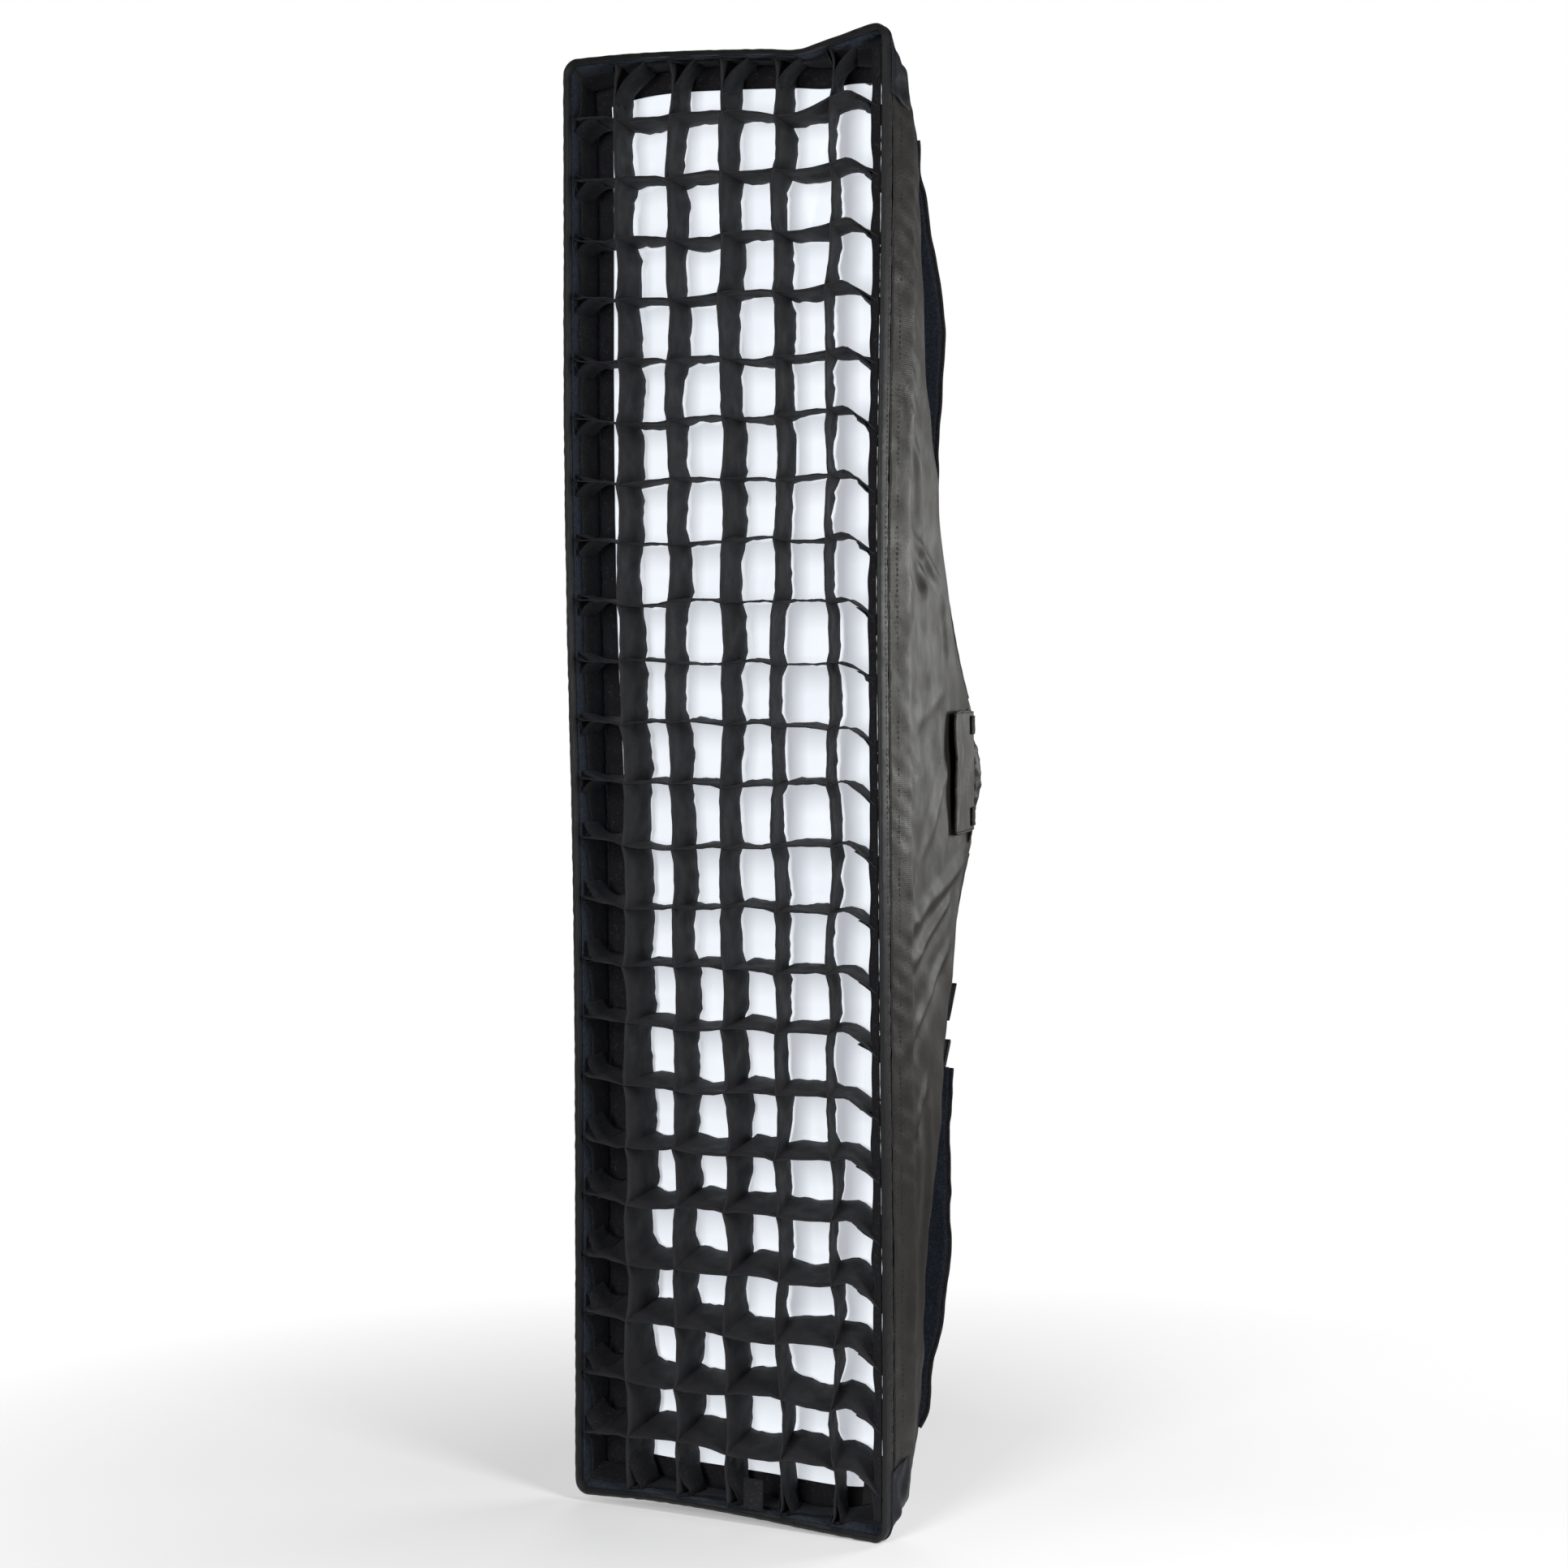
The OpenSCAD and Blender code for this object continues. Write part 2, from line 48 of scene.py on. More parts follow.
# ---- Sizes in millimetres, as in the CAD model ----
FRONT_Y = -322.0  # plane of the front edge
LIP_DEPTH = 50.0
LIP_Y = FRONT_Y + LIP_DEPTH
NECK_Y = -24.0
FRONT_HALF = np.array([150.0, 600.0])
NECK_HALF = np.array([74.0, 66.0])
NECK_DEPTH = NECK_Y - FRONT_Y
RUN = NECK_Y - LIP_Y
SLOPE = (FRONT_HALF - NECK_HALF) / RUN
SIDE_ANGLE = math.atan(SLOPE[0])
END_ANGLE = math.atan(1 / SLOPE[1])
END_NORMAL = np.array([0.0, math.cos(END_ANGLE), math.sin(END_ANGLE)])
SKIN = 1.2
CELL = 50.0
GRID_HALF = np.array([146.1, 596.1])
CORNERS = [(1, 1), (-1, 1), (1, -1), (-1, -1)]
CORNER_NAMES = ["upper_right", "upper_left", "lower_right", "lower_left"]


# ---- Camera ----

def make_camera():
    data = bpy.data.cameras.new("camera")
    data.lens, data.sensor_width = 77.1, 36.0
    data.dof.use_dof = False
    data.clip_start, data.clip_end = 0.05, 60.0
    cam = bpy.data.objects.new("camera", data)
    bpy.context.scene.collection.objects.link(cam)
    turn = (Matrix.Rotation(math.radians(30.58), 4, "Z")
            @ Matrix.Rotation(math.radians(90 - 1.77), 4, "X")
            @ Matrix.Rotation(math.radians(-0.28), 4, "Z"))
    cam.matrix_world = Matrix.Translation((1.436, -2.653, 0.085)) @ turn
    bpy.context.scene.camera = cam


make_camera()


# ---- Small tools ----

def smooth(a, b, x):
    t = np.clip((np.asarray(x, float) - a) / (b - a), 0, 1)
    return t * t * (3 - 2 * t)


def curve(points, x):
    """Smooth curve through (place, value) pairs."""
    places, values = np.array(points, float).T
    x = np.asarray(x, float)
    k = np.clip(np.searchsorted(places, x) - 1, 0, len(places) - 2)
    slopes = np.gradient(values, places)
    h = places[k + 1] - places[k]
    t = np.clip((x - places[k]) / h, 0, 1)
    return ((2 * t**3 - 3 * t**2 + 1) * values[k] + (t**3 - 2 * t**2 + t) * h * slopes[k]
            + (3 * t**2 - 2 * t**3) * values[k + 1] + (t**3 - t**2) * h * slopes[k + 1])


RIPPLE_WAVES = 9


def ripple(p, size, seed, stretch=(1, 1, 1)):
    """Smooth random field of about -1 to 1 over points, whose bumps are about size millimetres."""
    draw = np.random.default_rng(seed)
    total = 0
    for _ in range(RIPPLE_WAVES):
        direction = draw.normal(size=3)
        direction /= np.linalg.norm(direction)
        direction *= TAU / (size * draw.uniform(1.3, 2.6)) / np.array(stretch)
        total = total + np.sin(p @ direction + draw.uniform(0, TAU))
    return total / math.sqrt(RIPPLE_WAVES)


def grid_normals(p, wrap_u=False, wrap_v=False):
    """Unit normals of a grid of points, du x dv."""
    def step(axis, wrap):
        if wrap:
            return np.roll(p, -1, axis) - np.roll(p, 1, axis)
        return np.gradient(p, axis=axis)
    n = np.cross(step(0, wrap_u), step(1, wrap_v))
    return n / np.maximum(np.linalg.norm(n, axis=2, keepdims=True), 1e-9)


def lengths(p, axis, wrap):
    """Distance along an axis of a grid, averaged over the other one."""
    d = np.linalg.norm(np.diff(p, axis=axis), axis=2).mean(1 - axis)
    places = np.concatenate([[0], np.cumsum(d)])
    if wrap:
        ends = np.linalg.norm(np.take(p, 0, axis) - np.take(p, -1, axis), axis=1).mean()
        places = np.append(places, places[-1] + ends)
    return places


def quad_uvs(u0, u1, v0, v1):
    """UVs of quads from their edges, in the order of their corners."""
    return np.stack([u0, v0, u1, v0, u1, v1, u0, v1], 1).reshape(-1, 4, 2)


class Build:
    """Collects quads with UVs in metres, and makes one mesh of them."""

    def __init__(self):
        self.verts, self.faces, self.uvs, self.count = [], [], [], 0

    def sheet(self, p, wrap_u=False, wrap_v=False, flip=False):
        """One layer over a grid of points. Its front is on the side of du x dv, unless flipped."""
        nu, nv = p.shape[:2]
        i = np.arange(nu if wrap_u else nu - 1)
        j = np.arange(nv if wrap_v else nv - 1)
        i, j = [a.ravel() for a in np.meshgrid(i, j, indexing="ij")]
        i1, j1 = (i + 1) % nu, (j + 1) % nv
        ids = np.stack([i * nv + j, i1 * nv + j, i1 * nv + j1, i * nv + j1], 1)
        u, v = lengths(p, 0, wrap_u) * MM, lengths(p, 1, wrap_v) * MM
        uv = quad_uvs(u[i], u[i + 1], v[j], v[j + 1])
        if flip:
            ids, uv = ids[:, ::-1], uv[:, ::-1]
        self.add(p.reshape(-1, 3), ids, uv)
        return self.count - nu * nv

    def add(self, verts, ids, uv):
        self.verts.append(verts)
        self.faces.append(ids + self.count)
        self.uvs.append(uv.reshape(-1, 2))
        self.count += len(verts)

    def shell(self, p, thick, wrap_u=False, wrap_v=False):
        """A closed cloth: p is its front face, and the back is thick behind it."""
        back = p - grid_normals(p, wrap_u, wrap_v) * thick
        a = self.sheet(p, wrap_u, wrap_v)
        b = self.sheet(back, wrap_u, wrap_v, flip=True)
        nu, nv = p.shape[:2]
        ids = np.arange(nu * nv).reshape(nu, nv)
        if not wrap_v:
            self.rim(ids[:, 0], a, b, wrap_u, True)
            self.rim(ids[:, -1], a, b, wrap_u, False)
        if not wrap_u:
            self.rim(ids[0], a, b, wrap_v, False)
            self.rim(ids[-1], a, b, wrap_v, True)

    def rim(self, line, a, b, wrap, flip):
        nxt = np.roll(line, -1) if wrap else line[1:]
        line = line if wrap else line[:-1]
        ids = np.stack([a + line, a + nxt, b + nxt, b + line], 1)
        if flip:
            ids = ids[:, ::-1]
        run = np.arange(len(line)) * MM
        self.faces.append(ids)
        self.uvs.append(quad_uvs(run, run + MM, run * 0, run * 0 + MM).reshape(-1, 2))

    def tube(self, path, radius, sides=8, closed=False, flat=1.0, up=(0, 1, 0)):
        """Round or oval tube along a path; radius may change along it."""
        path = np.asarray(path, float)
        ahead = (np.roll(path, -1, 0) - np.roll(path, 1, 0)) if closed else np.gradient(path, axis=0)
        ahead /= np.maximum(np.linalg.norm(ahead, axis=1, keepdims=True), 1e-9)
        side = np.cross(ahead, np.array(up, float))
        side /= np.maximum(np.linalg.norm(side, axis=1, keepdims=True), 1e-9)
        top = np.cross(side, ahead)
        turn = np.arange(sides) * TAU / sides
        radius = np.broadcast_to(np.asarray(radius, float), len(path))[:, None, None]
        ring = (side[:, None] * np.cos(turn)[None, :, None]
                + top[:, None] * np.sin(turn)[None, :, None] * flat)
        p = path[:, None] + ring * radius
        base = self.sheet(p, wrap_u=closed, wrap_v=True)
        if not closed:
            for row, flip in ((0, True), (len(path) - 1, False)):
                self.cap(base + row * sides, sides, path[row], flip)

    def cap(self, start, sides, centre, flip):
        self.verts.append(np.array([centre]))
        middle = self.count
        self.count += 1
        k = np.arange(sides)
        a, b = start + k, start + (k + 1) % sides
        ids = np.stack([a, b, np.full(sides, middle)], 1)
        if flip:
            ids = ids[:, ::-1]
        self.faces.append(ids)
        self.uvs.append(np.zeros((sides * 3, 2)))

    def mesh(self, name):
        verts = np.concatenate(self.verts) * MM
        faces = [f for block in self.faces for f in block.tolist()]
        me = bpy.data.meshes.new(name)
        me.from_pydata(verts.tolist(), [], faces)
        layer = me.uv_layers.new(name="cloth")
        layer.data.foreach_set("uv", np.concatenate(self.uvs).astype(np.float32).ravel())
        me.polygons.foreach_set("use_smooth", [True] * len(me.polygons))
        me.validate()
        me.update()
        return me


def place(name, build, look, body, stands_in=True, sharp=None):
    """Makes a piece of a Build, gives it its material, and hangs it on its body's empty.

    A piece that stands in replaces the CAD node of its own name."""
    ob = bpy.data.objects.new(name, build.mesh(name))
    bpy.context.scene.collection.objects.link(ob)
    ob.data.materials.append(MAT[look])
    if sharp:
        ob.data.set_sharp_from_angle(angle=math.radians(sharp))
    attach(ob, body)
    if stands_in:
        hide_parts(name)
    return ob


# ---- Materials ----

def rgb(hexa):
    """Linear colour of a hex code."""
    value = [int(hexa[i:i + 2], 16) / 255 for i in (0, 2, 4)]
    return [c / 12.92 if c <= 0.04045 else ((c + 0.055) / 1.055) ** 2.4 for c in value] + [1.0]


class Nodes:
    """A material's node tree, in short calls."""

    def __init__(self, name):
        self.mat = bpy.data.materials.new(name)
        self.mat.use_nodes = True
        self.tree = self.mat.node_tree
        self.shader = self.tree.nodes["Principled BSDF"]
        self.coords = self.tree.nodes.new("ShaderNodeTexCoord")

    def new(self, kind, **values):
        node = self.tree.nodes.new("ShaderNode" + kind)
        for key, value in values.items():
            setattr(node, key, value)
        return node

    def link(self, a, b):
        self.tree.links.new(a, b)

    def fix(self, **values):
        """Constants on the shader's own sockets."""
        for key, value in values.items():
            self.shader.inputs[key.replace("_", " ")].default_value = value

    def math(self, how, a, b=None):
        node = self.new("Math", operation=how)
        for k, value in enumerate([a, b]):
            if value is None:
                continue
            if isinstance(value, (int, float)):
                node.inputs[k].default_value = value
            else:
                self.link(value, node.inputs[k])
        return node.outputs[0]

    def noise(self, size, detail=3.0, rough=0.55, stretch=None, seed=0.0):
        """Noise whose lumps are about size millimetres. stretch lengthens them along the axes."""
        node = self.new("TexNoise")
        node.inputs["Scale"].default_value = 1000.0 / size
        node.inputs["Detail"].default_value = detail
        node.inputs["Roughness"].default_value = rough
        mapping = self.new("Mapping")
        mapping.inputs["Location"].default_value = (seed, seed * 0.7, -seed)
        if stretch:
            mapping.inputs["Scale"].default_value = [1 / s for s in stretch]
        self.link(self.coords.outputs["Object"], mapping.inputs["Vector"])
        self.link(mapping.outputs[0], node.inputs["Vector"])
        return node.outputs["Fac"]

    def ramp(self, fac, *stops):
        """Colour ramp; stops are (place, hex colour or grey level)."""
        node = self.new("ValToRGB")
        ramp = node.color_ramp
        while len(ramp.elements) < len(stops):
            ramp.elements.new(0.5)
        for element, (at, value) in zip(ramp.elements, stops):
            element.position = at
            element.color = rgb(value) if isinstance(value, str) else [value] * 3 + [1]
        self.link(fac, node.inputs["Fac"])
        return node.outputs["Color"]

    def mix(self, fac, a, b, how="MIX"):
        node = self.new("Mix", data_type="RGBA", blend_type=how)
        for k, value in ((0, fac), (6, a), (7, b)):
            if isinstance(value, (int, float)):
                node.inputs[k].default_value = value
            elif isinstance(value, str):
                node.inputs[k].default_value = rgb(value)
            elif isinstance(value, list):
                node.inputs[k].default_value = value
            else:
                self.link(value, node.inputs[k])
        return node.outputs[2]

    def ribs(self, along, pitch):
        """Round ribs across one axis of the UVs, 0 to 1; the pitch is in millimetres."""
        split = self.new("SeparateXYZ")
        self.link(self.coords.outputs["UV"], split.inputs[0])
        turn = self.math("MULTIPLY", split.outputs[along], TAU / 2 * 1000 / pitch)
        return self.math("ABSOLUTE", self.math("SINE", turn))

    def weave(self, pitch):
        """Threads of a woven cloth, 0 to 1."""
        return self.math("MULTIPLY", self.math("ADD", self.ribs("X", pitch), self.ribs("Y", pitch)), 0.5)

    def spread(self, value, levels):
        """Roughness between two levels, by a noise's value."""
        return self.ramp(value, (0.3, levels[0]), (0.7, levels[1]))

    def bump(self, height, distance, strength=1.0, under=None):
        node = self.new("Bump")
        node.inputs["Distance"].default_value = distance
        node.inputs["Strength"].default_value = strength
        self.link(height, node.inputs["Height"])
        if under is not None:
            self.link(under, node.inputs["Normal"])
        return node.outputs[0]

    def done(self, colour=None, rough=None, normal=None):
        for socket, value in (("Base Color", colour), ("Roughness", rough), ("Normal", normal)):
            if value is not None:
                self.link(value, self.shader.inputs[socket])
        return self.mat


def woven(name, dark, light, thread, rough=(0.5, 0.65), sheen=0.2, tint="808890", mottle=45.0,
          pitch=0.9, depth=0.06, crease=0.25, specular=0.4, fuzz=0.0):
    """A woven cloth: mottled colour, thread pattern, small creases and sheen."""
    k = Nodes(name)
    base = k.ramp(k.noise(mottle, 4.0, 0.6), (0.32, dark), (0.68, light))
    threads = k.weave(pitch)
    base = k.mix(k.math("MULTIPLY", threads, 0.35), base, thread)
    base = k.mix(0.35, base, k.ramp(k.noise(1.4, 2.0, 0.7), (0.25, 0.35), (0.75, 1.0)), "MULTIPLY")
    if fuzz:
        lint = k.noise(2.2, 3.0, 0.75, seed=0.3)
        base = k.mix(k.ramp(lint, (0.58, 0.0), (0.72, fuzz)), base, tint)
    k.fix(Sheen_Weight=sheen, Sheen_Roughness=0.45, Sheen_Tint=rgb(tint),
          Specular_IOR_Level=specular)
    low = k.bump(k.noise(9.0, 4.0, 0.6, seed=0.2), 0.0012, crease)
    normal = k.bump(threads, depth * MM * 4, 0.7, low)
    return k.done(base, k.spread(k.noise(mottle * 0.6, seed=0.5), rough), normal)


def fuzzy(name, dark, light, lint, lump=3.0, rough=0.9, sheen=0.5):
    """Loop tape: napped, with a dusty pile."""
    k = Nodes(name)
    pile = k.noise(lump, 5.0, 0.75)
    base = k.ramp(pile, (0.3, dark), (0.7, light))
    dust = k.ramp(k.noise(1.1, 2.0, 0.8, seed=0.4), (0.55, 0.0), (0.78, 0.75))
    base = k.mix(dust, base, lint)
    k.fix(Roughness=rough, Sheen_Weight=sheen, Sheen_Roughness=0.5, Sheen_Tint=rgb(lint),
          Specular_IOR_Level=0.15)
    normal = k.bump(pile, 0.0018, 0.8, k.bump(k.noise(0.9, 2.0), 0.0006, 0.6))
    return k.done(base, None, normal)


def ribbed(name, dark, light, pitch, depth, along="X"):
    """Ribbed webbing or binding: ribs across its length."""
    k = Nodes(name)
    ribs = k.ribs(along, pitch)
    base = k.mix(k.math("MULTIPLY", ribs, 0.8), dark, light)
    base = k.mix(0.5, base, k.ramp(k.noise(18.0, 4.0), (0.3, 0.45), (0.75, 1.0)), "MULTIPLY")
    k.fix(Sheen_Weight=0.15, Sheen_Roughness=0.4, Sheen_Tint=rgb("8a8f98"), Specular_IOR_Level=0.4)
    normal = k.bump(ribs, depth * MM, 1.0, k.bump(k.noise(6.0, 3.0, seed=0.1), 0.0008, 0.3))
    return k.done(base, k.spread(k.noise(12.0, seed=0.3), (0.45, 0.6)), normal)


def metal(name, colour, worn, rough, grain, metallic=1.0):
    """Turned or cast metal: brushed grain, handling marks and dull patches."""
    k = Nodes(name)
    lines = k.noise(grain[0], 3.0, 0.65, stretch=grain[1])
    base = k.mix(k.ramp(k.noise(14.0, 5.0, 0.65, seed=0.2), (0.45, 0.0), (0.7, 1.0)), colour, worn)
    base = k.mix(0.3, base, k.ramp(lines, (0.3, 0.55), (0.7, 1.0)), "MULTIPLY")
    k.fix(Metallic=metallic, Specular_IOR_Level=0.5)
    rough_map = k.spread(k.mix(0.5, lines, k.noise(20.0, 4.0, seed=0.7)), rough)
    return k.done(base, rough_map, k.bump(lines, 0.00015, 0.5))


def moulded(name, dark, light, rough=(0.42, 0.58), grain=0.9, depth=0.00012):
    """Moulded plastic or rubber with a fine texture and rubbed patches."""
    k = Nodes(name)
    base = k.ramp(k.noise(16.0, 4.0, 0.6), (0.3, dark), (0.72, light))
    base = k.mix(0.2, base, k.ramp(k.noise(grain * 2, 2.0), (0.3, 0.5), (0.7, 1.0)), "MULTIPLY")
    k.fix(Specular_IOR_Level=0.45)
    rough_map = k.spread(k.noise(9.0, seed=0.4), rough)
    return k.done(base, rough_map, k.bump(k.noise(grain, 2.0, 0.7), depth, 0.8))


def silver_cloth(name):
    """Crinkled silver lining."""
    k = Nodes(name)
    crinkle = k.noise(7.0, 6.0, 0.68)
    base = k.ramp(crinkle, (0.3, "8d9094"), (0.7, "d6d8da"))
    cells = k.new("TexVoronoi", feature="DISTANCE_TO_EDGE")
    cells.inputs["Scale"].default_value = 90.0
    k.link(k.coords.outputs["Object"], cells.inputs["Vector"])
    k.fix(Metallic=0.85, Specular_IOR_Level=0.5)
    folds = k.math("MINIMUM", cells.outputs["Distance"], 0.22)
    normal = k.bump(folds, 0.004, 0.35, k.bump(crinkle, 0.0015, 0.6, k.bump(
        k.weave(0.8), 0.0002, 0.5)))
    return k.done(base, k.spread(k.noise(5.0, 4.0, seed=0.6), (0.26, 0.44)), normal)


def white_cloth(name, low, high, painted_glow=0.0):
    """White diffusing cloth: fine weave, faint blue-grey creases, and emission as painted light when that
    is set.
    """
    k = Nodes(name)
    base = k.ramp(k.noise(60.0, 4.0, 0.6), (0.3, low), (0.7, high))
    threads = k.weave(0.7)
    base = k.mix(0.06, base, k.ramp(threads, (0.0, 0.7), (1.0, 1.0)), "MULTIPLY")
    # The emission is painted light: the cloth shines evenly by itself, standing in for light coming
    # through it, with no lamp behind it.
    k.fix(Sheen_Weight=0.15, Sheen_Roughness=0.4, Specular_IOR_Level=0.25,
          Emission_Color=rgb("f2f7ff"), Emission_Strength=painted_glow)
    normal = k.bump(k.noise(26.0, 4.0, 0.6, seed=0.3), 0.002, 0.3, k.bump(threads, 0.00008, 0.5))
    return k.done(base, k.spread(k.noise(30.0, seed=0.4), (0.62, 0.8)), normal)


MAT = {
    "skin": woven("skin_nylon", "1f1e1c", "32302c", "3a3834", rough=(0.42, 0.62), sheen=0.06,
                  tint="a8a49c", mottle=48.0, pitch=1.0, depth=0.04, crease=0.4, specular=0.25),
    "ribbon": woven("grid_ribbon", "212123", "2f2f32", "3b3b3e", rough=(0.62, 0.8), sheen=0.08,
                    tint="6a6c72", mottle=25.0, pitch=0.8, depth=0.05, crease=0.3, specular=0.2),
    "band": woven("grid_band", "121214", "1c1c20", "26262a", rough=(0.65, 0.85), sheen=0.2,
                  tint="70747e", mottle=18.0, pitch=0.9, depth=0.06, crease=0.5, specular=0.2,
                  fuzz=0.25),
    "binding": ribbed("edge_binding", "0a0a0a", "1b1b1c", 1.3, 0.35),
    "webbing": ribbed("webbing", "0c0c0d", "1c1c1e", 1.1, 0.3, along="Y"),
    "loop": fuzzy("loop_tape_navy", "12161d", "2b313c", "5c636f"),
    "flap": fuzzy("closure_fabric", "18181b", "303035", "4a4a50", lump=5.0, sheen=0.3),
    "hook": fuzzy("hook_tape_black", "0d0d0e", "1c1c1e", "3a3a3c", lump=1.6, rough=0.6, sheen=0.1),
    "patch": woven("corner_patch_nylon", "111216", "1d1e24", "26282e", rough=(0.5, 0.68),
                   sheen=0.15, tint="6a6f80", mottle=16.0, pitch=1.1, crease=0.7, specular=0.3),
    "thread": ribbed("sewing_thread", "1a1a1b", "3a3a3c", 0.5, 0.1),
    "mesh": woven("vent_mesh", "0b0b0c", "161617", "242426", pitch=2.4, depth=0.4, sheen=0.1),
    "silver": silver_cloth("silver_lining"),
    # The diffuser is given emission of 0.5 as painted light, in place of light shining through the cloth.
    "white": white_cloth("diffuser_cloth", "e6ebf2", "f4f7fb", painted_glow=0.5),
    "white_inner": white_cloth("baffle_cloth", "e6e7ea", "f4f5f6"),
    "lip": woven("lip_fabric", "121213", "1c1c1e", "262628", rough=(0.55, 0.7), sheen=0.15),
    "alloy": metal("ring_alloy", "b9bcbf", "8f9296", (0.22, 0.42), (1.2, (1, 6, 1))),
    "black_metal": metal("ring_black", "2a2b2d", "47494c", (0.34, 0.52), (1.5, (1, 5, 1)),
                         metallic=0.75),
    "socket": metal("socket_metal", "6f7275", "4c4e51", (0.3, 0.5), (0.9, (1, 1, 5))),
    "screw": metal("screw_steel", "c6c8ca", "96989b", (0.18, 0.36), (0.6, (1, 1, 1))),
    "rod": metal("rod_steel", "cfd1d3", "a3a6a9", (0.14, 0.3), (0.5, (1, 1, 40))),
    "plastic": moulded("black_plastic", "131314", "202022"),
    "rubber": moulded("soft_rubber", "101011", "1b1b1c", rough=(0.7, 0.86), grain=0.6,
                      depth=0.0001),
}


# ---- The skin's shape ----

# Bows of the sprung frame: (place along the edge, offset) in millimetres
RIGHT_BOW = [(-620, -1.5), (-408, -0.7), (-213, -2), (-20, -2.6), (173, -3.2), (429, 1.6), (620, 4)]
LEFT_BOW = [(-620, 1), (-503, 2), (-24, 2), (112, -1), (315, -3), (450, -2), (620, -1)]
TOP_BOW = [(-155, 1), (-90, 0), (-19, -4), (42, -9), (76, -12), (95, -8), (110, -5), (132, 0),
           (155, 3.5)]
BOTTOM_BOW = [(-155, 1), (-75, 4), (20, 2), (81, -1.5), (155, -5)]
ARC = 5
SIDES = ["right", "top", "left", "bottom"]
UPRIGHT = ("right", "left")


def half_at(depth):
    """Half width and half height of the outline at a depth behind the front edge."""
    t = np.clip((np.asarray(depth, float) - LIP_DEPTH) / RUN, 0, 1)
    return FRONT_HALF - t[..., None] * (FRONT_HALF - NECK_HALF)


def seam_gap(p):
    """Distance of points from the nearest seam, along the outline."""
    half = half_at(p[..., 1] - FRONT_Y)
    return np.maximum(half - np.abs(p[..., [0, 2]]), 0).sum(-1)


def slope_share(y):
    """Share of the way from the lip to the neck."""
    return np.clip((y - LIP_Y) / RUN, 0, 1)


def sag_corners(p):
    """Behind the front edge the lip's corners slump towards the rods' tips, which hold them up."""
    x, y, z = p[..., 0], p[..., 1], p[..., 2]
    depth = y - FRONT_Y
    gap = seam_gap(p)
    share = np.where(x > 0, np.where(z > 0, 1.0, 0.8), 0.6)
    share = share * smooth(2, 42, depth) * np.exp(-(gap / 55) ** 2)
    down = share * (1 - smooth(60, 170, depth))
    forward = share * (1 - smooth(44, 84, depth))
    return p + np.stack([-2 * np.sign(x) * down, -11 * forward, -25 * np.sign(z) * down], -1)


def warp(p):
    """Bows the front edges of the frame, and less and less of what is behind them."""
    x, y, z = p[..., 0], p[..., 1], p[..., 2]
    fade = 1 - smooth(LIP_Y + 15, LIP_Y + 170, y)
    dx = np.where(x > 0, curve(RIGHT_BOW, z), curve(LEFT_BOW, z)) * np.clip(np.abs(x) / 150, 0, 1)
    dz = np.where(z > 0, curve(TOP_BOW, x), curve(BOTTOM_BOW, x)) * (np.abs(z) / 600) ** 4
    return sag_corners(p) + np.stack([dx * fade, 0 * fade, dz * fade], -1)


def seam_round(depth):
    """Radius of the corners at a depth behind the front edge."""
    return 12 - 9 * smooth(50, 95, depth) + 5 * smooth(255, 298, depth)


def ring(side, depth, out, n=(300, 70), rounding=None):
    """Points round the box at each row's depth and distance outside its outline. Rows x columns."""
    depth, out = [np.atleast_1d(np.asarray(a, float)) for a in np.broadcast_arrays(depth, out)]
    half = half_at(depth)
    if rounding is None:
        rounding = seam_round(depth)
    r = np.broadcast_to(rounding, depth.shape)[:, None]
    turn = np.radians(np.linspace(45, 0, ARC + 1)[:-1])[None]
    blocks = []
    for name in SIDES if side == "all" else [side]:
        long_way = name in UPRIGHT
        across = half[:, 0:1] if long_way else half[:, 1:2]
        along = half[:, 1:2] if long_way else half[:, 0:1]
        reach = (r + out[:, None])
        a = across - r + reach * np.cos(turn)
        b = along - r + reach * np.sin(turn)
        straight = np.linspace(-1, 1, n[0] if long_way else n[1])[None] * (along - r)
        a = np.concatenate([a, across + out[:, None] + 0 * straight, a[:, ::-1]], 1)
        b = np.concatenate([-b, straight, b[:, ::-1]], 1)
        sign = -1 if name in ("left", "bottom") else 1
        xz = (sign * a, sign * b) if long_way else (-sign * b, sign * a)
        blocks.append(np.stack(xz, -1)[:, :-1 if side == "all" else None])
    xz = np.concatenate(blocks, 1)
    y = np.broadcast_to((FRONT_Y + depth)[:, None], xz.shape[:2])
    return np.stack([xz[..., 0], y, xz[..., 1]], -1)


def pull_seams(p):
    """The seams run slightly hollow between the rods' ends, and draw the cloth near them in."""
    t, gap = slope_share(p[..., 1]), seam_gap(p)
    spread = np.where(p[..., 2] > 0, 75.0, 50.0)
    pull = (1 - np.abs(2 * t - 1) ** 3.5) * np.exp(-(gap / spread) ** 2) * smooth(0.08, 0.3, t)
    pull = pull + 0.2 * np.exp(-((p[..., 2] - 214) / 26) ** 2 - (gap / 30) ** 2) * (t > 0)
    q = p.copy()
    reach = np.where(p[..., 2] > 0, 14.5, 13.0) * smooth(0, 60, np.abs(p[..., 0]))
    q[..., 0] -= np.sign(p[..., 0]) * reach * pull
    q[..., 1] -= 6 * pull
    return q


